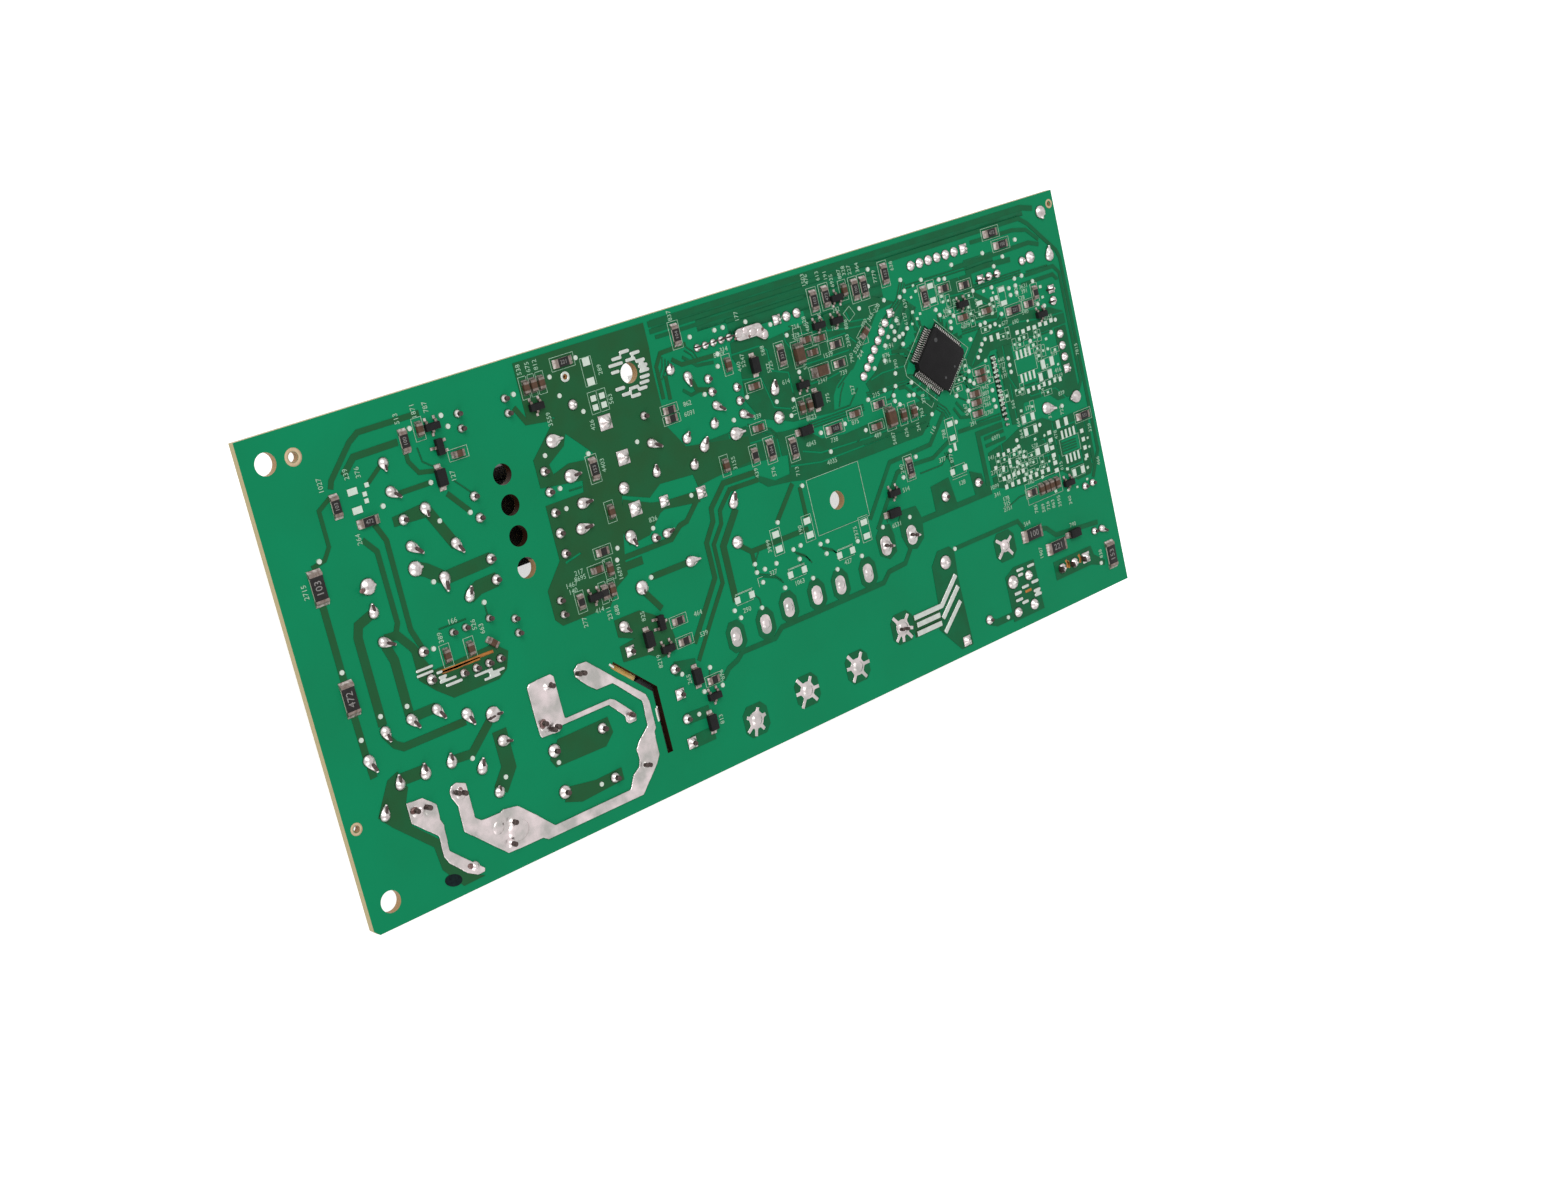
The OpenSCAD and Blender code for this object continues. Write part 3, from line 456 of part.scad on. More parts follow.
// ---- electrolytic capacitors: x, y, diameter, height, lead pitch, turn ----
cans = [[25.65, 13.35, can_d, tall, 5.1, 90], [16.4, 37.5, can_d, tall, 5.3, 90], [81.15, 20.4, can_d, tall, 5.3, 90], [80.9, 31.5, can_d, tall, 5.6, 90],
  [89.85, 32.6, 6.3, 11.5, 5.4, 90], [65.25, 56.5, 8, 12, 4.9, 90], [78.35, 40.4, 5, 11.5, 2.7, 0], [188.25, 12.6, 6.3, 11.5, 2.7, 0]];
// The sleeve is drawn in over the groove that holds the rubber seal, and turned in over the can's end.
module can_sleeves() color([0.1, 0.12, 0.16]) for (p = cans) under(p[0], p[1]) let (r = p[2] / 2, h = p[3])
  rotate_extrude() polygon([[0, -0.4], [r - 0.5, -0.4], [r, -0.9], [r, -1.8], [r - 0.35, -2.2], [r, -2.6], [r, -h + 0.5], [r - 0.5, -h], [r - 1, -h], [r - 1, -h + 0.4], [0, -h + 0.4]]);
// The can's bare end, scored with a cross so that it can vent.
module can_tops() color([0.75, 0.76, 0.78]) for (p = cans) under(p[0], p[1]) let (r = p[2] / 2, h = p[3]) translate([0, 0, -h]) difference() {
  translate([0, 0, 0.1]) cylinder(r = r - 1, h = 0.3);
  for (a = [0, 90]) rotate([0, 0, a]) slab(2 * r - 2.6, 0.25, 0.22);
}
module can_leads() color([0.8, 0.78, 0.76]) for (p = cans) under(p[0], p[1], p[5]) for (s = [-1, 1]) translate([s * p[4] / 2, 0, 0]) pin(0.3, 0, 0.4);

// ---- boxed film capacitors: x, y, length, thickness, height, pitch, turn ----
films = [[21.45, 30.15, 13, 4.4, film_h, 9.7, 0], [7.85, 64, 13, 5, film_h, 10.2, 90], [26.6, 23.7, 7.2, 3, 7.5, 4.8, 90]];
module film_boxes() color([0.82, 0.62, 0.12]) for (p = films) under(p[0], p[1], p[6]) difference() {
  drop(p[2], p[3], 0.4, p[4]);
  for (s = [-1, 1]) translate([s * p[2] / 2, 0, -p[4]]) rotate([0, 45, 0]) translate([-0.25, -p[3], -0.25]) cube([0.5, 2 * p[3], 0.5]);
}
module film_leads() color([0.8, 0.78, 0.76]) for (p = films) under(p[0], p[1], p[6]) for (s = [-1, 1]) translate([s * p[5] / 2, 0, 0]) pin(0.35, 0, 0.4);

// ---- discs that stand on edge: x, y, diameter, thickness, pitch, turn ----
discs = [[23.55, 47, 8, 3.2, 5.2, 90], [33.95, 62.4, 9, 4, 5.2, 90], [31.2, 76.7, 10, 4.5, 6.2, 83], [66.2, 8.95, 7, 3, 5.2, 90], [193.5, 75.05, 5, 2.6, 2.4, 0], [193.45, 64.55, 5, 2.6, 2.5, 0]];
module disc_bodies() color([0.12, 0.34, 0.6]) for (p = discs) under(p[0], p[1], p[5]) translate([0, 0, -p[2] / 2 - 1.6]) rotate([90, 0, 0]) rotate_extrude()
  polygon([[0, -p[3] / 2], [p[2] / 2 - 0.8, -p[3] / 2], [p[2] / 2, -p[3] / 2 + 0.8], [p[2] / 2, p[3] / 2 - 0.8], [p[2] / 2 - 0.8, p[3] / 2], [0, p[3] / 2]]);
module disc_leads() color([0.8, 0.78, 0.76]) for (p = discs) under(p[0], p[1], p[5]) difference() {
  for (s = [-1, 1]) translate([s * p[4] / 2, 0, 0]) pin(0.3, 0, 1.6 + p[2] / 2);
  translate([0, 0, -p[2] / 2 - 1.6]) rotate([90, 0, 0]) cylinder(r = p[2] / 2, h = 6, center = true);
}

// ---- parts that lie between two bent leads: x, y, x, y, body length, body diameter ----
axials = [[12.3, 55.1, 12.3, 65, 5.2, 2.7], [17.65, 54.8, 17.6, 65, 5.2, 2.7], [23.05, 54.9, 23.1, 65, 5.2, 2.7], [35.25, 28.2, 35.2, 38.2, 5.2, 2.7], [28.5, 57.8, 28.6, 68.3, 5.2, 2.7],
  [31.35, 20.6, 31.4, 33.3, 9, 3.4], [60, 16.7, 72.3, 16.6, 9.4, 5.2], [62, 23.9, 74.3, 23.9, 9.4, 5.2], [61.4, 33.8, 74.2, 33.8, 9.4, 5.2], [63, 29.4, 72.8, 29.4, 5.2, 2.7],
  [96.7, 23.7, 96.7, 39.6, 10.5, 4.6], [101.1, 26.9, 112.5, 26.8, 7, 3.6], [185.4, 44.9, 195.1, 44.9, 6, 3], [22, 84.4, 30.4, 83.4, 5.4, 2.6]];
wires = [[89.5, 11.2, 89.5, 24.6], [93.1, 13.4, 93.1, 27.2], [71.6, 38.4, 71.7, 48.4], [83.5, 47.2, 95.5, 47.1], [195.5, 13.5, 195.6, 3.9], [148.4, 85.6, 155.9, 83.5]];
module along(p) under((p[0] + p[2]) / 2, (p[1] + p[3]) / 2, atan2(p[1] - p[3], p[2] - p[0])) children();
function span(p) = norm([p[2] - p[0], p[3] - p[1]]);
module axial_bodies() color([0.15, 0.15, 0.16]) for (p = axials) along(p) translate([-p[4] / 2, 0, -p[5] / 2 - 0.4]) rotate([0, 90, 0]) rotate_extrude()
  polygon([[0, 0], [p[5] / 2 - 0.3, 0], [p[5] / 2, 0.3], [p[5] / 2, p[4] - 0.3], [p[5] / 2 - 0.3, p[4]], [0, p[4]]]);
module lead_pair(l, gap, z, r) for (a = [0, 180]) rotate([0, 0, a]) {
  translate([l / 2, 0, -z - r]) cylinder(r = r, h = z + r);
  translate([gap / 2, 0, -z]) rotate([0, 90, 0]) cylinder(r = r * 0.98, h = (l - gap) / 2);
}
module axial_leads() color([0.8, 0.78, 0.76]) for (p = axials) along(p) lead_pair(span(p), p[4], p[5] / 2 + 0.4, 0.38);
module wire_jumpers() color([0.82, 0.8, 0.78]) for (p = wires) along(p) lead_pair(span(p), 0, 0.8, 0.35);

// ---- relays: two slim ones side by side, and one wider ----
slim = [[64.5, 68.1], [64.5, 78.1]];
module relay_case(l, w) difference() {
  drop(l, w, 0.9, relay_h);
  for (s = [-1, 1]) translate([s * l / 2, 0, -relay_h]) rotate([0, 45, 0]) translate([-0.3, -w, -0.3]) cube([0.6, 2 * w, 0.6]);
  for (s = [-1, 1]) translate([0, s * w / 2, -relay_h]) rotate([45, 0, 0]) translate([-l, -0.3, -0.3]) cube([2 * l, 0.6, 0.6]);
  translate([l / 2 - 1.6, w / 2 - 1.6, -relay_h - 1]) cylinder(r = 0.5, h = 1.5);
  translate([0, 0, -2]) slab(l - 1.4, w - 1.4, 3);
}
module relay_cases() color([0.14, 0.15, 0.16]) { for (p = slim) under(p[0], p[1]) relay_case(20.5, 7.2); under(136.1, 68.3, 90) relay_case(22, 10.2); }
module relay_bases() color([0.22, 0.22, 0.22]) difference() {
  union() { for (p = slim) under(p[0], p[1]) drop(19, 5.7, 0.4, 2); under(136.1, 68.3, 90) drop(20.5, 8.7, 0.4, 2); }
  relay_pins();
}
module relay_pins() color([0.8, 0.78, 0.76]) {
  for (p = [[73.4, 65.6], [73.4, 70.5], [73.4, 75.7], [73.4, 80.5]]) under(p[0], p[1]) pin(0.3, 0, 1.6);
  for (p = [[62.2, 70.6], [55.4, 70.5], [62.3, 80.4], [55.4, 80.3]]) under(p[0], p[1]) translate([0, 0, -1.6]) slab(0.8, 0.4, 1.6);
  for (p = [[132.2, 59.4], [140, 59.4]]) under(p[0], p[1]) pin(0.35, 0, 1.6);
  under(132.2, 77) translate([0, 0, -1.6]) slab(0.8, 0.5, 1.6);
}

// ---- plug-in headers: x, y, pins, pitch, turn. A power header has a tall latch wall. ----
power = [[18.85, 70.4, 2, 8.1, 0], [43.9, 74.75, 2, 8.1, 90], [45.7, 62.8, 2, 7.8, 90], [184.2, 79.8, 3, 3.9, 0]];
module power_headers() color([0.9, 0.89, 0.85]) for (p = power) under(p[0], p[1], p[4]) difference() {
  union() { drop(11.7, 7.6, 0.2, 3.4); translate([0, 3.3, 0]) drop(11.7, 1, 0.2, 9.8); translate([0, 2.4, 0]) drop(3, 1, 0.2, 8.6); }
  for (i = [0:p[2] - 1]) translate([(i - (p[2] - 1) / 2) * p[3], 0, -5]) slab(0.8, 0.8, 6);
}
module power_pins() color([0.82, 0.79, 0.7]) for (p = power) under(p[0], p[1], p[4]) for (i = [0:p[2] - 1]) translate([(i - (p[2] - 1) / 2) * p[3], 0, -11.5]) slab(0.8, 0.8, 11.5);
// x, y, pins, pitch, turn
locking = [[120.35, 8.35, 3, 2.55, 0], [163.05, 6.4, 7, 2.55, 0], [176.65, 13.6, 3, 2.55, 0], [194, 21.8, 2, 2.55, 90], [194, 34.35, 4, 2.55, 90]];
shrouded = [[104.9, 8.8, 9, 2.01, 0, 4.5, 6], [141.6, 19.55, 8, 2.06, 46, 4.5, 6], [172.6, 37.8, 13, 1.2, 90, 4.6, 5.5]];
function pin_r(p) = p[3] < 1.5 ? 0.2 : 0.32;
function row_x(p, i) = (i - (p[2] - 1) / 2) * p[3];
module row(p) for (i = [0:p[2] - 1]) translate([row_x(p, i), 0, 0]) children();
// A locking header is a low base with one springy wall; a shrouded one is a trough with a key slot at each end.
module signal_headers() color([0.9, 0.89, 0.85]) {
  for (p = locking) under(p[0], p[1], p[4]) let (l = (p[2] - 1) * p[3] + 2.5) difference() {
    union() {
      drop(l, 5.8, 0.1, 3.2);
      translate([0, 2.4, 0]) drop(l, 1, 0.2, header_h);
      translate([0, 1.65, 0]) drop(l - 1.6, 0.6, header_h - 1.6, header_h - 0.9);
    }
    for (i = [1:p[2] - 1]) translate([row_x(p, i) - p[3] / 2, 2.4, -header_h - 0.1]) slab(0.7, 2, 2.6);
    row(p) translate([0, 0, -4]) cylinder(r = pin_r(p), h = 5);
  }
  for (p = shrouded) under(p[0], p[1], p[4]) let (l = (p[2] - 1) * p[3] + 4) difference() {
    drop(l, p[5], 0.1, p[6]);
    drop(l - 1.6, p[5] - 1.6, 2.4, p[6] + 1);
    for (s = [-1, 1]) translate([s * l / 2, 0, 0]) drop(2, 1.2, 3.6, p[6] + 1);
    row(p) translate([0, 0, -3]) cylinder(r = pin_r(p), h = 4);
  }
}
module signal_pins() color([0.82, 0.79, 0.7]) {
  for (p = locking) under(p[0], p[1], p[4]) row(p) pin(pin_r(p), 0, header_h + 1.6);
  for (p = shrouded) under(p[0], p[1], p[4]) row(p) pin(pin_r(p), 0, p[6] - 0.8);
}
module tab_terminal() color([0.84, 0.8, 0.68]) under(53.1, 58.9, 90) difference() {
  union() { drop(6.3, 0.8, 1, 11); for (s = [0]) translate([s, 0, 0]) drop(1.6, 0.8, 0, 1.5); translate([0, 0, 0]) drop(7.4, 0.8, 1, 2.2); }
  translate([0, 2, -8.5]) rotate([90, 0, 0]) cylinder(r = 0.85, h = 4);
  for (s = [-1, 1]) translate([s * 3.15, 0, -11]) rotate([0, 45, 0]) slab(1.2, 3, 1.2);
}

// ---- two regulators that stand up; the second is clamped to a finned heat sink ----
regs = [[97.9, 17.75, 180], [104, 21.05, 0]];
module regulator_bodies() color([0.13, 0.13, 0.13]) for (p = regs) under(p[0], p[1], p[2]) translate([0.2, 0, 0]) drop(3.2, 10, 4.6, 13.6);
module regulator_tabs() color([0.72, 0.73, 0.75]) for (p = regs) under(p[0], p[1], p[2]) translate([2.45, 0, 0]) difference() {
  drop(1.3, 10, 4.8, tall);
  translate([0, 0, -16.8]) rotate([0, 90, 0]) cylinder(r = 1.8, h = 4, center = true);
}
module regulator_leads() color([0.8, 0.78, 0.76]) for (p = regs) under(p[0], p[1], p[2]) for (y = [-2.65, 0, 2.65]) translate([0, y, 0]) { drop(0.5, 0.75, 0, 3); drop(0.5, 1.3, 3, 4.6); }
module heat_sink() color([0.6, 0.61, 0.63]) under(108.1, 21.05) {
  translate([-0.2, 0, 0]) drop(1.6, 13, 4.8, tall);
  for (y = [-5.75, -2.9, 0, 2.9, 5.75]) translate([3.4, y, 0]) drop(5.8, 1.3, 4.8, tall);
  translate([4.9, -0.35, 0]) pin(0.6, 0, 5);
}

// ---- filter choke, standing on a four-pin base ----
ck = [167.2, 81.35];
module filter_choke_base() color([0.12, 0.12, 0.12]) under(ck[0], ck[1]) difference() {
  drop(9.4, 11.6, 0.4, 2.6);
  for (x = [-2.35, 2.6]) for (y = [-3.35, 3.25]) translate([x, y, -4]) cylinder(r = 0.4, h = 5);
}
module filter_choke_coils() color([0.66, 0.33, 0.13]) under(ck[0], ck[1]) difference() {
  union() {
    for (s = [-1, 1]) translate([0, s * 2.9, -18.4]) cylinder(r = 2.8, h = 15.8);
    for (x = [-2.35, 2.6]) for (y = [-3.35, 3.25]) translate([x, y, 0]) pin(0.4, 0, 2.8);
  }
  for (s = [-1, 1]) translate([0, s * 2.9, -19]) cylinder(r = 1.45, h = 17);
  translate([-4, -0.05, -19]) cube([8, 0.1, 17]);
}
module filter_choke_core() color([0.2, 0.2, 0.21]) under(ck[0], ck[1]) {
  for (s = [-1, 1]) translate([0, s * 2.9, -19]) cylinder(r = 1.45, h = 16.4);
  translate([0, 0, 0]) drop(4.6, 10.8, 18.5, tall);
}

// ---- buzzer ----
bz = [156, 54.55];
module buzzer_case() color([0.1, 0.1, 0.1]) under(bz[0], bz[1]) difference() {
  rotate_extrude() polygon([[0, -0.6], [buzzer_d / 2 - 0.4, -0.6], [buzzer_d / 2, -1], [buzzer_d / 2, -8.4], [buzzer_d / 2 - 0.6, -9], [0, -9]]);
  translate([0, 0, -10]) cylinder(r = 1.6, h = 3);
  for (x = [-5, 5]) translate([x, 0, -2]) cylinder(r = 0.35, h = 3);
}
module buzzer_pins() color([0.8, 0.78, 0.76]) under(bz[0], bz[1]) for (x = [-5, 5]) translate([x, 0, 0]) pin(0.3, 0, 2);

laminate();
mains_tracks();
supply_tracks();
logic_tracks();
tinned_tracks();
tinned_bars();
test_pads();
bare_pads();
wide_joints();
mains_joints();
supply_joints();
logic_joints();
row_joints();
resistor_bodies();
resistor_ends();
power_resistor_bodies();
power_resistor_ends();
chip_capacitor_bodies();
chip_capacitor_ends();
transistor_bodies();
transistor_leads();
diode_bodies();
diode_leads();
controller_body();
controller_leads();
transformer_core();
transformer_bobbin();
transformer_winding();
transformer_pins();
switcher_body();
dip_leads();
optocoupler_bodies();
can_sleeves();
can_tops();
can_leads();
film_boxes();
film_leads();
disc_bodies();
disc_leads();
axial_bodies();
axial_leads();
wire_jumpers();
relay_cases();
relay_bases();
relay_pins();
power_headers();
power_pins();
signal_headers();
signal_pins();
tab_terminal();
regulator_bodies();
regulator_tabs();
regulator_leads();
heat_sink();
filter_choke_coils();
filter_choke_base();
filter_choke_core();
buzzer_case();
buzzer_pins();
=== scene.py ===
"""Looks of a microwave oven's control board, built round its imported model."""

import math

import bpy
from mathutils import Matrix, Vector


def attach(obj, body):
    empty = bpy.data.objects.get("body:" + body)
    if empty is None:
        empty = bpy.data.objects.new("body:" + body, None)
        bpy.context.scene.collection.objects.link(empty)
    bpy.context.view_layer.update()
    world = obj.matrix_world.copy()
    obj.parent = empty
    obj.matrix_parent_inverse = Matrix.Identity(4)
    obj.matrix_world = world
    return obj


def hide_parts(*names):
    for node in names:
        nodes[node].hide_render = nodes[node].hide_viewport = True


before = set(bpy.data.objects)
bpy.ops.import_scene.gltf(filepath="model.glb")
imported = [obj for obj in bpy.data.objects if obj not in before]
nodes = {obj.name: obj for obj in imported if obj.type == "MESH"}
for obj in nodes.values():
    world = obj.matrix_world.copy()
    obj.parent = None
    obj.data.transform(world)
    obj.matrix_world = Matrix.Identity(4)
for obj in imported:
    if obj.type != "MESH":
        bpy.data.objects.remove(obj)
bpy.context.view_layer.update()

# ---- camera ----
# It looks down on the solder side from beyond the mains end, and is rolled so
# that the width of the board runs up the picture.


def put_in_scene(name, data):
    """A new object that shows a mesh, curve, text, lamp or lens."""
    made = bpy.data.objects.new(name, data)
    bpy.context.scene.collection.objects.link(made)
    return made


camera_lens = bpy.data.cameras.new("camera")
camera_lens.sensor_width = 36.0
camera_lens.lens = 51.81
camera = put_in_scene("camera", camera_lens)
camera_right = (0.74227, -0.22468, 0.63131)
camera_up = (0.31610, 0.94811, -0.03423)
camera_back = (-0.59086, 0.22497, 0.77477)
camera.matrix_world = Matrix.Translation((-0.2580, 0.08214, 0.36166)) @ Matrix(
    (camera_right, camera_up, camera_back)
).transposed().to_4x4()
bpy.context.scene.camera = camera
bpy.context.scene.view_settings.view_transform = "Standard"

# ---- floor and light ----
# A plain white sweep of paper with the board lying on it, under two large soft
# lamps and a white studio. The camera and shiny metal see the paper as white.
bpy.ops.mesh.primitive_plane_add(size=6.0)
floor = bpy.context.object
floor.name = "floor"


def set_inputs(tree, node, values):
    """Links each named input of a node to a socket, or gives it a plain value."""
    for name, value in values.items():
        if isinstance(value, bpy.types.NodeSocket):
            tree.links.new(value, node.inputs[name])
        else:
            node.inputs[name].default_value = value


def add_node(tree, kind, inputs=None, **settings):
    """Adds one shader node with its plain settings, then its inputs."""
    made = tree.nodes.new(kind)
    for name, value in settings.items():
        setattr(made, name, value)
    set_inputs(tree, made, inputs or {})
    return made


def work_out(tree, operation, *values):
    """One sum or comparison of sockets and numbers."""
    made = add_node(tree, "ShaderNodeMath", dict(enumerate(values)), operation=operation)
    return made.outputs[0]


def looked_at(tree):
    """A value of 1 where the camera or a shiny surface looks, and 0 for other light."""
    path = add_node(tree, "ShaderNodeLightPath").outputs
    return work_out(tree, "MAXIMUM", path["Is Camera Ray"], path["Is Glossy Ray"])


paper = bpy.data.materials.new("white_paper")
paper.use_nodes = True
tree = paper.node_tree
set_inputs(tree, tree.nodes["Principled BSDF"], {
    "Base Color": (0.82, 0.82, 0.82, 1), "Roughness": 0.9, "Specular IOR Level": 0.1,
    "Emission Color": (1, 1, 1, 1),
    "Emission Strength": work_out(tree, "MULTIPLY", looked_at(tree), 0.62)})
floor.data.materials.append(paper)

studio = bpy.data.worlds.new("studio")
studio.use_nodes = True
bpy.context.scene.world = studio
tree = studio.node_tree
strength = add_node(tree, "ShaderNodeMapRange",
                    {"Value": looked_at(tree), "To Min": 0.5, "To Max": 1.0})
set_inputs(tree, tree.nodes["Background"],
           {"Color": (1, 1, 1, 1), "Strength": strength.outputs["Result"]})


def soft_lamp(name, place, size, power):
    """A square soft box that faces the middle of the board."""
    lamp = bpy.data.lights.new(name, "AREA")
    lamp.shape = "SQUARE"
    lamp.size = size
    lamp.energy = power
    made = put_in_scene(name, lamp)
    aim = Vector((0.0, 0.0, 0.02)) - Vector(place)
    turned = aim.to_track_quat("-Z", "Y").to_matrix().to_4x4()
    made.matrix_world = Matrix.Translation(place) @ turned


soft_lamp("key_lamp", (-0.5, 0.75, 1.0), 0.7, 9.0)
soft_lamp("fill_lamp", (-0.7, -0.8, 0.8), 0.9, 4.0)

# ---- laminate ----
# One sheet of pale glass and paper laminate, green lacquer on the solder side
# only. Its sawn edges are bare and tan and its hole walls brown; the walls of
# its slot, and of the holes round a second spot, are painted near-black as shade.
solder_side_mm = 21.6
part_side_mm = 20.0


def shader_group(name, takes, gives):
    """An empty node group with named inputs (socket, kind, value) and outputs."""
    group = bpy.data.node_groups.new(name, "ShaderNodeTree")
    for socket, kind, value in takes:
        group.interface.new_socket(
            socket, in_out="INPUT", socket_type=kind
        ).default_value = value
    for socket, kind in gives:
        group.interface.new_socket(socket, in_out="OUTPUT", socket_type=kind)
    return group, group.nodes.new("NodeGroupInput"), group.nodes.new("NodeGroupOutput")


def mix(tree, factor, first, second):
    """A colour between two others."""
    made = add_node(tree, "ShaderNodeMix", {"Factor": factor, "A": first, "B": second},
                    data_type="RGBA")
    return made.outputs["Result"]


# Patches of a second colour, a roughness that wanders, and a fine relief.
mottle, taken, given = shader_group(
    "Mottle",
    [
        ("Colour", "NodeSocketColor", (0.5, 0.5, 0.5, 1)),
        ("Patch Colour", "NodeSocketColor", (0.4, 0.4, 0.4, 1)),
        ("Patch Scale", "NodeSocketFloat", 300.0),
        ("Patch Amount", "NodeSocketFloat", 0.5),
        ("Grain Scale", "NodeSocketFloat", 3000.0),
        ("Roughness", "NodeSocketFloat", 0.5),
        ("Roughness Span", "NodeSocketFloat", 0.1),
    ],
    [("Colour", "NodeSocketColor"), ("Roughness", "NodeSocketFloat"),
     ("Relief", "NodeSocketFloat")],
)
where = add_node(mottle, "ShaderNodeTexCoord").outputs["Object"]
taken = taken.outputs
patches = add_node(mottle, "ShaderNodeTexNoise",
                   {"Vector": where, "Scale": taken["Patch Scale"], "Detail": 4.0})
grain = add_node(mottle, "ShaderNodeTexNoise",
                 {"Vector": where, "Scale": taken["Grain Scale"], "Detail": 2.0})
edge = add_node(mottle, "ShaderNodeMapRange",
                {"Value": patches.outputs["Fac"], "From Min": 0.35, "From Max": 0.7})
cover = work_out(mottle, "MULTIPLY", edge.outputs["Result"], taken["Patch Amount"])
set_inputs(mottle, given, {
    "Colour": mix(mottle, cover, taken["Colour"], taken["Patch Colour"]),
    "Roughness": work_out(mottle, "MULTIPLY_ADD", grain.outputs["Fac"],
                          taken["Roughness Span"], taken["Roughness"]),
    "Relief": grain.outputs["Fac"]})


def finish(name, colour, patch_colour, patch_mm=2.0, amount=0.5, grain_mm=0.3, rough=0.3,
           span=0.1, relief=0.01, metal=0.0, shine=0.5, coat=0.0):
    """A material: two colours in patches, with a grain in its gloss and surface."""
    made = bpy.data.materials.new(name)
    made.use_nodes = True
    tree = made.node_tree
    surface = add_node(tree, "ShaderNodeGroup", {
        "Colour": (*colour, 1), "Patch Colour": (*patch_colour, 1),
        "Patch Scale": 1000.0 / patch_mm, "Patch Amount": amount,
        "Grain Scale": 1000.0 / grain_mm, "Roughness": rough - span / 2,
        "Roughness Span": span}, node_tree=mottle).outputs
    bump = add_node(tree, "ShaderNodeBump", {
        "Height": surface["Relief"], "Distance": relief / 1000, "Strength": 1.0})
    set_inputs(tree, tree.nodes["Principled BSDF"], {
        "Base Color": surface["Colour"], "Roughness": surface["Roughness"],
        "Normal": bump.outputs["Normal"], "Metallic": metal,
        "Specular IOR Level": shine, "Coat Weight": coat})
    return made


def dress(material, *names):
    """Gives CAD nodes their material."""
    for name in names:
        for material_slot in nodes[name].material_slots:
            material_slot.material = material


def place_on_board(tree):
    """Where a point of the surface is, whole and as its X, Y and Z."""
    where = add_node(tree, "ShaderNodeTexCoord").outputs["Object"]
    return where, add_node(tree, "ShaderNodeSeparateXYZ", {0: where}).outputs


green_lacquer = finish(
    "green_lacquer", (0.0035, 0.228, 0.096), (0.005, 0.195, 0.080), patch_mm=18, amount=0.6,
    grain_mm=0.6, rough=0.42, span=0.06, relief=0.004, shine=0.08)
tree = green_lacquer.node_tree
where, axes = place_on_board(tree)


def near(centre, reach):
    """A value of 1 on what lies within reach of a place in the laminate."""
    gap = add_node(tree, "ShaderNodeVectorMath", {0: where, 1: centre}, operation="DISTANCE")
    return work_out(tree, "LESS_THAN", gap.outputs["Value"], reach)


def beyond(axis, distance):
    """A value of 1 further out from the middle of the board than a distance."""
    return work_out(tree, "GREATER_THAN", work_out(tree, "ABSOLUTE", axes[axis]), distance)


# Walls a millimetre or less from the outline are sawn, and the rest are of holes.
sawn = work_out(tree, "MAXIMUM", beyond("X", 0.0989), beyond("Y", 0.0432))
bare_side = work_out(tree, "LESS_THAN", axes["Z"], (part_side_mm + 0.01) / 1000)
bare = work_out(tree, "MAXIMUM", sawn, bare_side)
# Painted shade: near-black walls in the slot and round a second spot.
painted_shade_walls = work_out(tree, "MAXIMUM", near((-0.0335, -0.0265, 0.0208), 0.0125),
                 near((-0.0525, 0.0185, 0.0208), 0.0105))
hole_walls_and_shade = mix(tree, painted_shade_walls, (0.44, 0.28, 0.14, 1), (0.03, 0.012, 0.006, 1))
uncoated = mix(tree, bare, hole_walls_and_shade, (0.50, 0.41, 0.22, 1))
coated = work_out(tree, "GREATER_THAN", axes["Z"], (solder_side_mm - 0.01) / 1000)
set_inputs(tree, tree.nodes["Principled BSDF"], {
    "Base Color": mix(tree, coated, uncoated, tree.nodes["Group"].outputs["Colour"])})
dress(green_lacquer, "laminate")

# ---- copper under the lacquer ----
# The same lacquer over copper: darker, a little raised and glossier. The fine
# copper of the signal end is thinner and shows less.
dark_lacquer = finish(
    "lacquer_on_copper", (0.011, 0.098, 0.034), (0.018, 0.072, 0.022), patch_mm=6, amount=0.6,
    grain_mm=0.5, rough=0.36, span=0.08, relief=0.006, shine=0.12)
dress(dark_lacquer, "mains_tracks", "supply_tracks")
fine_lacquer = finish(
    "lacquer_on_fine_copper", (0.006, 0.122, 0.047), (0.011, 0.088, 0.033), patch_mm=3, amount=0.7,
    grain_mm=0.5, rough=0.38, span=0.08, relief=0.006, shine=0.1)
dress(fine_lacquer, "logic_tracks")

# ---- solder ----
# Wave-soldered tin: cones with the cut lead ends standing out, and thick bare
# tracks. The CAD forms are rounded as surface tension would round them.


def shade_by_height(material, low_mm, high_mm, below=None, above=None, most=1.0):
    """Turns a finish's own colour into another, between two heights over the floor."""
    tree = material.node_tree
    own = tree.nodes["Group"].outputs["Colour"]
    rise = add_node(tree, "ShaderNodeMapRange", {
        "Value": place_on_board(tree)[1]["Z"], "From Min": low_mm / 1000,
        "From Max": high_mm / 1000, "To Max": most})
    set_inputs(tree, tree.nodes["Principled BSDF"], {
        "Base Color": mix(tree, rise.outputs["Result"], below or own, above or own)})


def pick(*chosen):
    """Selects only these objects, and makes the last of them active."""
    bpy.ops.object.select_all(action="DESELECT")
    for each in chosen:
        each.select_set(True)
    bpy.context.view_layer.objects.active = chosen[-1]


def edit_all(*edits):
    """Runs edit-mode operators, each with its settings, on all of the active mesh."""
    bpy.ops.object.mode_set(mode="EDIT")
    bpy.ops.mesh.select_all(action="SELECT")
    for operator, settings in edits:
        operator(**settings)
    bpy.ops.object.mode_set(mode="OBJECT")


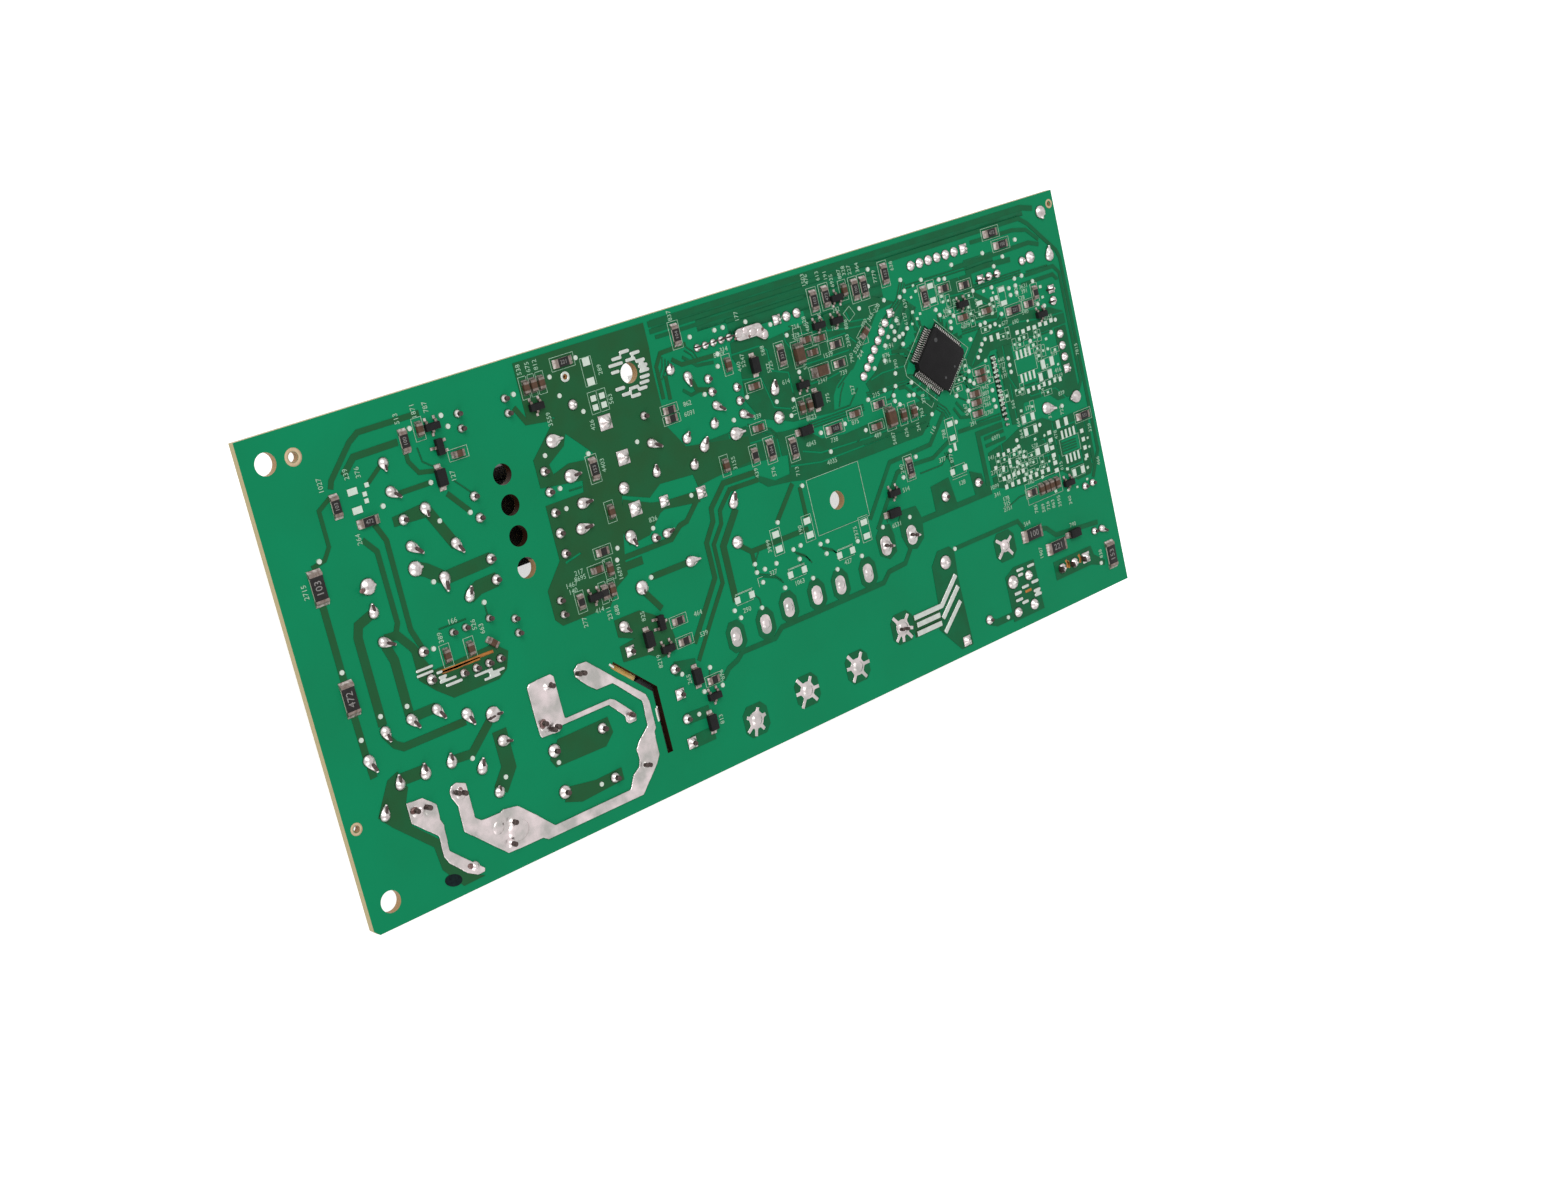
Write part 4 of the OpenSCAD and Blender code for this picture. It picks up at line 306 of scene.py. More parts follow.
def shift_up(rise_mm):
    """The edit that moves a mesh up by some millimetres."""
    return bpy.ops.transform.translate, {"value": (0, 0, rise_mm / 1000)}


normals_outward = (bpy.ops.mesh.normals_make_consistent, {"inside": False})


def shape(made, kind, **settings):
    """Gives the active object a modifier, and applies it."""
    modifier = made.modifiers.new(kind.lower(), kind)
    for name, value in settings.items():
        setattr(modifier, name, value)
    bpy.ops.object.modifier_apply(modifier=modifier.name)


def merged_copy(source, *more_edits):
    """A copy of a CAD node's mesh, its loose triangles merged and then edited."""
    made = put_in_scene(source + "_soft", nodes[source].data.copy())
    pick(made)
    edit_all((bpy.ops.mesh.remove_doubles, {"threshold": 0.000001}), *more_edits)
    return made


def fit_to_board(made, name, material, slot_name, *stands_for):
    """Names a finished piece, gives it its material, and rides it on the board."""
    made.name = name
    made.data.materials.clear()
    made.data.materials.append(material)
    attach(made, "root")
    if stands_for:
        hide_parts(*stands_for)


def round_off(source, voxel_mm, rounds, keep, sink_mm, material, slot_name="solder",
              draw_in_mm=0.0):
    """A copy of a CAD node rounded like a drop, which stands for the node."""
    made = merged_copy(source)
    shape(made, "REMESH", mode="VOXEL", voxel_size=voxel_mm / 1000)
    shape(made, "SMOOTH", factor=0.5, iterations=rounds)
    if draw_in_mm:
        shape(made, "DISPLACE", mid_level=0.0, strength=-draw_in_mm / 1000)
    shape(made, "DECIMATE", ratio=keep)
    edit_all(shift_up(-sink_mm))
    bpy.ops.object.shade_smooth()
    fit_to_board(made, source + "_soft", material, slot_name, source)


# The foot of every cone is darker: partly burnt flux, partly painted shade
# where the cone meets the board.
bright_solder = finish(
    "bright_solder", (0.66, 0.625, 0.61), (0.34, 0.285, 0.275), patch_mm=0.9, amount=0.8,
    grain_mm=0.25, span=0.16, relief=0.02, metal=1.0)
shade_by_height(bright_solder, 21.62, 21.90, below=(0.13, 0.10, 0.075, 1))
wavy_solder = finish(
    "wavy_solder", (0.44, 0.425, 0.405), (0.75, 0.645, 0.65), patch_mm=3.0, amount=1.0,
    grain_mm=1.1, span=0.26, relief=0.11, metal=1.0)
pad_tin = finish(
    "pad_tin", (0.62, 0.70, 0.62), (0.46, 0.55, 0.46), patch_mm=0.8, amount=0.4, rough=0.34,
    relief=0.008, metal=0.75)
bar_tin = finish(
    "bar_tin", (0.60, 0.64, 0.59), (0.46, 0.47, 0.45), patch_mm=0.9, amount=0.6, rough=0.34,
    span=0.12, metal=0.8)
round_off("tinned_tracks", 0.18, 3, 0.5, 0.03, wavy_solder)
round_off("tinned_bars", 0.13, 2, 0.4, 0.03, bar_tin)
round_off("wide_joints", 0.13, 2, 0.4, 0.14, wavy_solder, draw_in_mm=0.12)
for zone in ("mains", "supply", "logic", "row"):
    round_off(zone + "_joints", 0.12, 3, 0.25, 0.03, bright_solder)
dress(pad_tin, "test_pads", "bare_pads")

# ---- empty pads ----
# Tinned dots and bars of parts that this version of the board does without.
# Only a thin skin of solder lies on them, so they stay nearly flat.
pad_dots = [
    (161.9, 15.6), (163.4, 15.7), (169.5, 16.1), (174, 16.2), (163.2, 18.0), (168.7, 18.4),
    (176.6, 17.2), (176, 20), (171.5, 20.6), (175.2, 21.3), (169, 19.9), (169.1, 21.4),
    (174.9, 19.3), (161.8, 14.4), (172.2, 24.1), (176.6, 24.4), (177, 26.8), (178.5, 26.4),
    (170.4, 30.4), (170.4, 32.8), (170.3, 34.8), (177.4, 38.8), (178.4, 39.4), (179.4, 39),
    (177.7, 43.4), (181.3, 43.4), (161.7, 32.3), (163.3, 32.4), (160.9, 34), (164.3, 29.9),
    (185.1, 25.4), (179.8, 29.3), (181.3, 29.7), (181.5, 28.5), (183, 28.5), (186.7, 28.3),
    (186.1, 29.2), (187.5, 29.2), (185.3, 30.8), (189.5, 30.5), (186.3, 31.8), (187.9, 32.7),
    (189.4, 32.7), (186.3, 33.4), (191.5, 33.4), (191.6, 36.7), (186.8, 41.7), (174.4, 39.2),
    (173.9, 50.7), (168, 51.9), (169.9, 52), (171.3, 52.4), (173, 51.8), (174.8, 51.8),
    (176.1, 52), (176.3, 53.3), (178.1, 53.4), (171.3, 53.9), (169, 54.2), (167.6, 54.9),
    (173.1, 54.6), (173.9, 54.1), (174.9, 54.8), (176.2, 54.9), (178.2, 55), (171.8, 55.6),
    (173, 55.9), (175.4, 56.9), (177, 56.9), (179, 56.9), (181, 56.9), (180.9, 55.7), (180, 58.9),
    (180.1, 50.4), (183.1, 50.4), (183, 56.2), (184.5, 56.1), (188, 59.4), (194.2, 58.9),
    (196.1, 54.6), (196.1, 56.6), (194.3, 60.9), (183.1, 63), (187, 63.9), (189.9, 64.1),
    (193.4, 63.3), (181.4, 21.9), (190.9, 19.3), (191, 21.6), (153.4, 12.6), (154.6, 10.4),
    (155, 11.7), (152.9, 15.6), (153.8, 17.2), (152.2, 17.9), (154.9, 16.4)]
pad_bars = [(172.6, 30.3 + 1.03 * k) for k in range(13)]


def spot(x_mm, y_mm, z_mm):
    """A place read from the top left corner of the solder side, in metres."""
    return Vector(((x_mm - 100.0) / 1000, (44.25 - y_mm) / 1000, z_mm / 1000))


def turned_at(x_mm, y_mm, z_mm, turn):
    """The matrix that takes something from the origin to its place on the board."""
    return Matrix.Translation(spot(x_mm, y_mm, z_mm)) @ Matrix.Rotation(
        math.radians(turn), 4, "Z")


def repeat(name, pattern, places, material, slot_name="solder"):
    """Copies a small pattern made at the origin to (x, y, z, turn, size), as one piece."""
    copies = []
    for x_mm, y_mm, z_mm, turn, size in places:
        part = put_in_scene(name, pattern.data.copy())
        part.data.transform(turned_at(x_mm, y_mm, z_mm, turn) @ Matrix.Scale(size, 4))
        copies.append(part)
    pick(*copies)
    bpy.ops.object.join()
    bpy.data.objects.remove(pattern)
    fit_to_board(bpy.context.object, name, material, slot_name)


def settle(made, angle=35):
    """Applies a new object's place to its mesh, and smooths the flat angles."""
    pick(made)
    bpy.ops.object.transform_apply(location=True, rotation=True, scale=True)
    bpy.ops.object.shade_smooth_by_angle(angle=math.radians(angle))
    return made


def lumps(name, places, width_mm, length_mm, height_mm, material, slot_name="solder"):
    """Low square-cornered lumps with their edges drawn down, none quite alike."""
    bpy.ops.mesh.primitive_cube_add(size=0.001)
    pattern = bpy.context.object
    pattern.scale = (width_mm, length_mm, height_mm)
    bpy.ops.object.transform_apply(location=True, rotation=True, scale=True)
    shape(pattern, "BEVEL", width=min(width_mm, length_mm) * 0.28 / 1000, segments=2)
    middle_mm = solder_side_mm + height_mm / 2
    repeat(name, settle(pattern), [
        (x, y, middle_mm, 11 * math.sin(7 * k), 1.0 + 0.15 * math.sin(5 * k))
        for k, (x, y) in enumerate(places)], material, slot_name)


lean_tin = finish(
    "lean_tin", (0.52, 0.67, 0.54), (0.34, 0.50, 0.38), patch_mm=0.6, amount=0.6, rough=0.4,
    span=0.12, relief=0.008, metal=0.6)
lumps("empty_dots", pad_dots, 0.66, 0.6, 0.2, lean_tin)
lumps("connector_bars", pad_bars, 1.3, 0.5, 0.3, lean_tin)

# ---- cut lead ends ----
# The tips of tinned steel leads, cut short after soldering. Their near-black
# colour is partly their sawn faces and the burnt flux round them, and partly
# painted shade in the middle of each joint, dark against the bright solder.
lead_ends_and_shade = finish(
    "cropped_lead", (0.035, 0.02, 0.018), (0.13, 0.095, 0.085), patch_mm=0.4, amount=0.6,
    grain_mm=0.15, rough=0.55, span=0.2, relief=0.02, metal=0.4)
tips = "tinned_leads"


def lead_stub(radius_mm, burr_mm, **size_and_place):
    """A short round end of wire with a burr round its cut."""
    bpy.ops.mesh.primitive_cylinder_add(vertices=10, radius=radius_mm / 1000, **size_and_place)
    stub = bpy.context.object
    shape(stub, "BEVEL", width=burr_mm / 1000, segments=1)
    return settle(stub)


straight_leads = [
    (26.6, 21.3), (23.5, 44.4), (23.6, 49.6), (43.9, 70.7), (43.9, 78.8), (55.1, 70.5),
    (55.1, 80.3), (30.1, 43.1), (32.8, 43.1), (37.9, 43.1), (30.1, 50.7), (32.8, 50.7),
    (35.5, 50.7), (38, 50.7), (42.4, 6.7), (42.4, 9.4), (43, 44.9), (43, 47.6), (41.4, 21.5),
    (41.4, 25.5), (41.4, 33.1), (41.4, 37), (52.5, 6.7), (52.5, 9.4), (53.2, 44.9), (53.2, 47.6),
    (56.8, 21.5), (56.8, 25.4), (56.8, 29.3), (56.8, 33.2), (56.8, 37.1), (77, 40.4), (97.7, 15.1),
    (97.9, 17.7), (104, 18.4), (104, 21.1), (151, 54.6), (161, 54.5), (155.9, 83.5), (192.3, 75),
    (192.2, 64.6), (194.7, 64.5), (74, 65.6), (74, 75.7), (65.3, 58.9), (73.9, 70.6), (73.9, 80.5),
    (81.1, 17.8), (13.6, 70.3), (16, 70.6), (22.2, 70.3), (23.5, 70.8), (31.7, 79.7), (30.4, 83.4),
    (46.4, 58.9), (43, 65), (44.5, 66.7), (45.5, 66.5), (61.8, 70.3), (52.6, 58.8), (53.6, 59),
    (62, 80.4), (62.7, 80.6), (131, 77.1), (132.4, 77.4), (131.7, 59.2), (132.8, 59.6),
    (139.2, 59.2), (140.3, 59.6)]
upright = lead_stub(0.44, 0.09, depth=0.0015, location=(0, 0, 0.00075))
repeat("cropped_leads", upright, [
    (x, y, 21.62, 37 * k, 0.86 if x > 90 else 1.0 if y < 57 or x > 60 else 1.15)
    for k, (x, y) in enumerate(straight_leads)], lead_ends_and_shade, tips)
# Leads that were bent over before soldering: x, y, and the reach of the bend.
bend_top_mm = 22.42
bent_leads = [
    (25.7, 10.8, 0, 1.2), (25.6, 15.9, 1.4, 1.3), (31.3, 20.6, 0, 1.3), (26.6, 26.1, 1.7, 1.6),
    (35.3, 28.2, 0.9, 1.8), (16.3, 34.9, -0.1, -1.5), (31.4, 33.3, -0.2, 2.3),
    (35.2, 38.2, 0.6, -1.6), (16.5, 40.2, 1.8, 1), (12.3, 55.1, 0.3, 1.7), (17.7, 54.8, 1, 1.7),
    (23, 54.9, 1, 1.8), (28.5, 57.8, 0.8, 2), (33.6, 59.8, 1.5, 0.2), (34.1, 65, 1.5, 0.5),
    (28.6, 68.3, 0.5, -1.7), (7.9, 69.1, 0.5, -1.7), (30.8, 73.6, 0, -1), (7.8, 58.8, 0.8, 2.1),
    (12.3, 65, 0, -1.7), (17.6, 65, 0, -1.8), (23.1, 65, 0, -1.6), (62, 23.9, 1.9, 0),
    (63, 29.4, 1.9, 0), (61.4, 33.8, 2.3, 0), (71.6, 38.4, 0.6, 1.8), (71.3, 48.4, 0, 0.9),
    (65.2, 54, 1, 1.2), (79.7, 40.4, 1.4, -0.4), (96.7, 39.6, 0.6, -1.9), (89.5, 11.2, 0, -0.9),
    (93.1, 13.4, 0, 1.6), (98.1, 20.4, 1.5, 1.2), (104, 23.7, 1.7, 1), (96.7, 23.7, 0, -0.9),
    (89.5, 24.6, 0.5, -1), (93.1, 27.2, 0.8, -1.5), (113, 21.4, 0.2, -1.8), (81.2, 23.1, 1.9, 1.1),
    (80.8, 28.8, 0, -1.4), (89.8, 29.9, 0, -0.9), (194.7, 75.1, 1.2, 0.8)]
lying = lead_stub(0.23, 0.08, depth=0.001, location=(0.0005, 0, 0),
                  rotation=(0, math.pi / 2, 0))
repeat("bent_leads", lying, [
    (x + 0.3 * t, y + 0.3 * u, bend_top_mm, -math.degrees(math.atan2(u, t)),
     math.hypot(t, u) * 0.45 + 0.5) for x, y, t, u in bent_leads], lead_ends_and_shade, tips)
for name, places, width_mm, length_mm, height_mm in (
        ("blade_leads_across", [(193.2, 20.5), (193.1, 23.1), (32.9, 60.1)], 1.5, 0.34, 1.25),
        ("short_blade_leads", [(172.8, 13.7), (175.2, 13.7), (177.5, 13.7)], 1.0, 0.34, 1.3),
        ("row_blade_leads", [(96.8, 8.6), (98.9, 8.6), (101, 8.6), (103, 8.6), (105, 8.6)],
         1.3, 0.28, 1.08),
        ("blade_leads_along", [(179.4, 79.8), (183.2, 79.8), (186.9, 79.8)], 0.42, 1.4, 1.45)):
    lumps(name, places, width_mm, length_mm, height_mm, lead_ends_and_shade, tips)
bpy.ops.mesh.primitive_uv_sphere_add(segments=20, ring_count=12, radius=0.001)
puddle = bpy.context.object
puddle.scale = (1.0, 0.86, 0.34)
puddles = [
    (14.2, 70.6, 21.78, 20, 1.5), (16.2, 71.3, 21.76, 60, 1.1), (23.1, 70.7, 21.78, 80, 1.4),
    (32.4, 81.6, 21.65, 10, 2.5), (28.6, 79.6, 21.66, 50, 1.6), (43.4, 65.6, 21.78, 30, 1.4),
    (46.3, 59.3, 21.78, 0, 1.1), (21.9, 84.3, 21.76, 40, 1.0), (53.4, 59.2, 21.76, 0, 0.9),
    (61.7, 70.6, 21.76, 20, 1.1), (62.3, 80.6, 21.76, 30, 1.1), (106.8, 8.7, 22.36, 10, 0.8),
    (108.6, 8.4, 22.38, 70, 0.7), (110.3, 9.1, 22.38, 20, 0.9), (112.0, 9.3, 22.36, 50, 0.7),
    (113.3, 10.3, 22.36, 30, 0.8)]
repeat("solder_puddles", settle(puddle, 60), puddles, wavy_solder)
flux = finish(
    "burnt_flux", (0.10, 0.045, 0.04), (0.26, 0.16, 0.15), patch_mm=0.7, amount=0.8, grain_mm=0.25,
    span=0.2, relief=0.03, metal=0.3)
bpy.ops.mesh.primitive_uv_sphere_add(segments=16, ring_count=10, radius=0.001)
stain = bpy.context.object
stain.scale = (1.0, 0.7, 0.3)
stains = [
    (13.4, 70.2, 22.1, 15, 0.85), (23.0, 70.4, 22.1, 70, 0.8), (42.9, 65.1, 22.1, 60, 0.95),
    (46.5, 58.8, 22.02, 30, 0.6), (52.9, 58.9, 22.0, 10, 0.6), (31.6, 79.7, 22.0, 20, 0.55),
    (30.4, 83.4, 21.98, 80, 0.55), (21.2, 84.0, 21.98, -30, 0.75), (61.8, 70.2, 22.02, 0, 0.7),
    (62.1, 80.3, 22.02, 50, 0.65), (15.0, 30.4, 22.5, 0, 0.6), (106.0, 9.3, 22.35, 30, 0.4),
    (109.4, 9.7, 22.4, 80, 0.35), (112.9, 9.2, 22.4, 40, 0.4)]
repeat("flux_stains", settle(stain, 60), stains, flux)

# ---- burnt and bare copper ----
# Thin copper laid bare beside the hottest pins: an orange line through the
# heat comb, one mark in the choke's pad, and scorched flux between three pins.
# The rings round the tooling holes are bare as well.
scorched = finish(
    "scorched_copper", (0.50, 0.19, 0.03), (0.24, 0.085, 0.02), patch_mm=1.2, amount=0.7,
    rough=0.4, span=0.2, relief=0.02, metal=0.35)


def poly_line(curve, points, loop=False):
    """Adds a line through points in metres to a curve."""
    spline = curve.splines.new("POLY")
    spline.points.add(len(points) - 1)
    for point, place in zip(spline.points, points):
        point.co = (*place, 1)
    spline.use_cyclic_u = loop


def strokes(name, lines, width_mm, height_mm, material, slot_name, base_mm=solder_side_mm):
    """Flat bands along lists of points; a line whose last point is its first is a loop."""
    band = bpy.data.curves.new(name + "_section", "CURVE")
    band.dimensions = "2D"
    poly_line(band, [(u * width_mm / 2000, v * height_mm / 2000, 0)
                     for u, v in ((-1, -1), (1, -1), (1, 1), (-1, 1))], loop=True)
    section = put_in_scene(name + "_section", band)
    curve = bpy.data.curves.new(name, "CURVE")
    curve.dimensions = "2D"
    curve.bevel_mode = "OBJECT"
    curve.bevel_object = section
    curve.use_fill_caps = True
    for line in lines:
        loop = line[0] == line[-1]
        poly_line(curve, [spot(x, y, 0) for x, y in (line[:-1] if loop else line)], loop)
    pick(put_in_scene(name, curve))
    bpy.ops.object.convert(target="MESH")
    bpy.data.objects.remove(section)
    edit_all(normals_outward, shift_up(base_mm + height_mm / 2))
    fit_to_board(bpy.context.object, name, material, slot_name)


strokes("scorched_lines", [
    [(25.3, 48.9), (29, 49.05), (33, 48.95), (37, 49)], [(26, 49.2), (34, 49.3)],
    [(167.9, 81.2), (169.8, 81.2)], [(181.8, 78.4), (182.2, 79.2), (181.9, 80.2)],
    [(182.4, 78.8), (182.6, 80.4)], [(186, 78.5), (186.4, 79.4), (186.1, 80.4)]],
        0.6, 0.13, scorched, "lacquered_copper")
bare_board = finish(
    "bare_board", (0.60, 0.45, 0.28), (0.42, 0.29, 0.16), patch_mm=0.8, grain_mm=0.2, rough=0.7,
    relief=0.03)
# Rings round the tooling holes, the second of them scorched: x, y and two radii.
for number, (x, y, outer, inner) in enumerate((
        (9.8, 5.2, 1.6, 0.95), (66.1, 6.3, 0.55, 0.3), (2.15, 69.2, 1.15, 0.66),
        (198.6, 2.75, 1.0, 0.58))):
    middle = (outer + inner) / 2
    ring = [(x + middle * math.cos(a), y + middle * math.sin(a))
            for a in (math.radians(15 * k) for k in range(24))]
    strokes("bare_ring_%d" % number, [ring + ring[:1]], outer - inner, 0.03,
            scorched if number == 1 else bare_board, "green_laminate")

# ---- marks left on the board ----
# An inspector's black pen mark by the mains pins, lacquer chipped white beside
# the slot, and a strip of amber tape over the slot's start on the far face.
pen = finish(
    "black_pen", (0.006, 0.01, 0.012), (0.012, 0.03, 0.028), patch_mm=0.7, amount=0.6,
    grain_mm=0.2, rough=0.6, relief=0.004, shine=0.05)
bpy.ops.mesh.primitive_cylinder_add(vertices=36, radius=0.001, depth=0.00013,
                                    location=(0, 0, 0.000065))
dab = bpy.context.object
dab.scale = (1.75, 1.1, 1.0)
repeat("pen_mark", settle(dab), [(17.3, 85.1, solder_side_mm, -20, 1.0)], pen, "green_laminate")
chipped = finish(
    "chipped_lacquer", (0.80, 0.79, 0.74), (0.6, 0.58, 0.5), patch_mm=0.6, amount=0.6,
    grain_mm=0.2, rough=0.7, relief=0.03)
strokes("slot_chips", [[(67.75, 71.2), (67.7, 72.6), (67.75, 73.8)], [(60.1, 59.7), (60.9, 60.6)]],
        0.4, 0.05, chipped, "green_laminate")
# The tape's pale yellow patches are painted highlights.
amber = finish(
    "amber_tape_and_highlights", (0.95, 0.48, 0.05), (1.0, 0.82, 0.4), patch_mm=2.4, amount=0.9, grain_mm=0.4,
    rough=0.25, span=0.08)
strokes("slot_tape", [[(61.2, 60.4), (65.8, 64.6)]], 3.4, 0.06, amber, "winding_tape",
        base_mm=part_side_mm - 0.07)

# ---- fine tracks ----
# Signal copper too thin to carry weight, all of it lacquered: a fan of lines
# out of the controller, buses and short hops between the chip parts, painted
# shade between the controller's leads and under the connector bars, and broad
# thin areas round the densest parts.
controller_middle = Vector((156.9, 26.6))
fan = []
lead_rows = []
for side in range(4):
    turn = math.radians(45 + 90 * side)
    out = Vector((math.cos(turn), -math.sin(turn)))
    along = Vector((out.y, -out.x))
    row = controller_middle + out * 5.75
    lead_rows.append([tuple(row - along * 4.3), tuple(row + along * 4.3)])
    for lead in range(16):
        if (lead * 7 + side) % 5 == 0:
            continue
        tip = controller_middle + out * 6.3 + along * ((lead - 7.5) * 0.5)
        bend = tip + out * (0.6 + 0.3 * ((lead * 3 + side) % 3))
        step = out + along * (0.9 if lead > 7 else -0.9)
        end = bend + step * (0.5 + 0.35 * ((lead + side) % 3))
        fan.append([tuple(tip), tuple(bend), tuple(end)])
# Buses of like lines: the first one's ends, how many, and the step to the next.
buses = []
for first, last, count, dx, dy in (
        ((119.5, 30), (134.5, 30.2), 3, 0, 0.55), ((132.5, 37.6), (151, 37.7), 4, 0, 0.5),
        ((104.5, 26), (112, 30.8), 3, 0.1, 0.55), ((128, 24.2), (134.5, 18.4), 3, 0.5, 0.5),
        ((136, 28.2), (149, 28.3), 3, 0, 0.5), ((143.8, 15.6), (151.4, 8.6), 3, 0.55, 0.35),
        ((152.6, 9.9), (170.8, 10), 2, 0, 0.6), ((170.6, 14.4), (186, 14.5), 3, 0, 0.5),
        ((165.5, 22.4), (171.4, 22.5), 3, 0, 0.5), ((174.2, 29.4), (174.4, 44), 3, 0.55, 0),
        ((178.4, 28.6), (192, 28.7), 2, 0, 0.55), ((186.2, 30.2), (186.3, 40.6), 3, 0.6, 0),
        ((176, 49.6), (186, 49.7), 3, 0, 0.6), ((166.4, 52), (174.6, 52.2), 2, 0, 3.1),
        ((176.6, 52.6), (176.8, 58), 3, 2.1, 0), ((186.2, 53.6), (192.4, 53.7), 4, 0, 0.6),
        ((193.6, 51), (193.7, 59.4), 2, 2.2, 0), ((164, 42.2), (171.6, 42.3), 1, 0, 0.5),
        ((187.6, 15.2), (194.4, 15.3), 1, 0, 0.5), ((120, 10.4), (125, 12.2), 3, 0.4, 0.6),
        ((112, 19.8), (118, 24.2), 2, 0.2, 0.8), ((94.4, 8), (96.4, 10.6), 2, -0.6, 0.5),
        ((86.6, 12), (88.4, 8.4), 3, 0.6, 0.5), ((98.6, 54.6), (104, 57.6), 2, 0.3, 0.6),
        ((108.6, 53.2), (112, 56.2), 2, 0.4, 0.5), ((115.4, 54.4), (119.2, 57), 2, 0.4, 0.5),
        ((153.4, 45.8), (154.8, 49.8), 2, 0.6, 0), ((153.6, 36.2), (156.2, 39.4), 3, 0.55, -0.4),
        ((160, 31.4), (164.4, 35.6), 3, 0.5, -0.5), ((62.8, 43.6), (66.6, 45.2), 2, 0, 0.7)):
    for k in range(count):
        a = (first[0] + dx * k, first[1] + dy * k)
        b = (last[0] + dx * k, last[1] + dy * k)
        buses.append([a, (a[0] + (b[0] - a[0]) * 0.72, a[1] + (b[1] - a[1]) * 0.5), b])
hops = [
    [(150.6, 24), (148.6, 22.2), (146.2, 22)], [(150, 25.2), (147.6, 23.4), (143, 23.4)],
    [(149.4, 28), (146, 27), (143, 27.2)], [(144, 28.9), (142, 31), (141, 31)],
    [(134, 26.6), (131, 29.4), (126.4, 29.4)], [(128.2, 29), (129.4, 26.4), (130.8, 24.6)],
    [(117.6, 12), (119, 11.9), (122, 12.6)], [(133.6, 35.3), (130, 37.6), (123.4, 36.9)],
    [(178, 24.4), (181.5, 27)], [(184.6, 29.7), (183, 28.4), (181.4, 28.2)],
    [(175.3, 23.7), (177.8, 22.1)], [(160.2, 18), (164, 19.1)],
    [(165, 31.3), (163.6, 33), (163.6, 35.1)], [(163.1, 37.3), (161, 36), (160.1, 35.3)],
    [(152.2, 37.1), (150, 39.4), (146, 39.4)], [(155.1, 45.8), (152, 48), (145.6, 48)],
    [(136.8, 49.6), (134, 52), (134, 55)], [(98.4, 54.2), (98.4, 52.5), (100, 50.4)],
    [(96.2, 57.8), (97.6, 59.4), (97.6, 61.2)], [(109.5, 55), (110, 57.3)],
    [(80.5, 72.4), (82.1, 68.1)], [(168, 62.2), (172, 61), (175, 61)],
    [(192.5, 82.5), (190.2, 80.6)], [(161.4, 84.8), (158.2, 84.4)], [(38.2, 17.6), (41, 20.6)],
    [(32.9, 10.2), (33.2, 12.8), (35.6, 14.6)], [(27.6, 41.7), (33.4, 41.7)],
    [(37.8, 40.1), (37.8, 42.6)], [(61, 26.4), (64, 26.5)], [(57.8, 18.8), (57, 21)]]
strokes("fine_tracks", fan + buses + hops, 0.28, 0.08, fine_lacquer, "lacquered_copper")
# Near-black strips of painted shade between the controller's leads and between the connector bars.
gap = finish(
    "lacquer_in_shade", (0.004, 0.03, 0.015), (0.008, 0.018, 0.01), patch_mm=1, rough=0.5,
    relief=0.004, shine=0.05)
connector_row = [(172.6, 29.8), (172.6, 43.4)]
strokes("lead_row_shade", lead_rows + [connector_row], 1.5, 0.05, gap, "lacquered_copper")
# A band of lacquered-copper colour under the arrow bars: partly copper under the lacquer, partly
# painted shade in the gaps between the bars.
strokes("bar_pour_and_shade", [[(134.7, 77.9), (143, 77.9)]], 4.7, 0.05, dark_lacquer, "lacquered_copper")
thin_lacquer = finish(
    "lacquer_on_thin_copper", (0.0045, 0.150, 0.060), (0.008, 0.105, 0.041), patch_mm=5,
    amount=0.8, grain_mm=0.5, rough=0.4, span=0.08, relief=0.006, shine=0.1)
strokes("thin_pours", [
    [(87.6, 2.3), (190, 2.3)], [(98, 4.7), (146.5, 4.7)], [(105.2, 7.1), (146.5, 7.1)],
    [(124.6, 9.5), (146, 9.5)], [(170, 9.9), (178.6, 9.9)], [(151.5, 12.5), (144.2, 20.6)],
    [(153.3, 14.1), (146, 22.2)]],
        2.4, 0.04, thin_lacquer, "lacquered_copper")

# ---- printed legend ----
# One pass of pale ink over the lacquer: a frame round each part's place, and
# plain part numbers beside them.
ink = finish(
    "pale_ink", (0.38, 0.56, 0.42), (0.14, 0.33, 0.20), patch_mm=0.5, amount=0.7, grain_mm=0.2,
    rough=0.7, relief=0.004)


def frame_round(x, y, turn, length, width):
    """A closed rectangle of ink, turned like its part."""
    a = math.radians(turn)
    return [(x + u * length / 2 * math.cos(a) + v * width / 2 * math.sin(a),
             y - u * length / 2 * math.sin(a) + v * width / 2 * math.cos(a))
            for u, v in ((-1, -1), (1, -1), (1, 1), (-1, 1), (-1, -1))]


chips_1206 = [
    (14.8, 15.4, 90), (20, 19.6, 0), (30.7, 8.4, 90), (66.4, 3.6, 0), (67.3, 24.1, 90),
    (92.6, 5.2, 90), (116.4, 15.3, 90), (127.6, 7.1, 90), (130.8, 7, 90), (138.8, 7.5, 90),
    (141.2, 7.5, 90), (147.4, 6.3, 90), (108.5, 32.3, 90), (114.2, 33.6, 90), (125.6, 32.7, 0),
    (179.3, 4.9, 0), (181.7, 7.9, 0), (181.6, 22.1, 0), (156.9, 13.3, 90), (142.9, 46, 90),
    (196, 49.4, 0), (120.6, 16.2, 90), (125.2, 20.7, 0), (140.6, 34.6, 90), (18.55, 15.5, 90),
    (105, 50, 90), (113.4, 49.8, 90), (127.7, 54.4, 90), (156.5, 41.9, 90), (159.2, 13.1, 90),
    (71.4, 6.7, 90)]
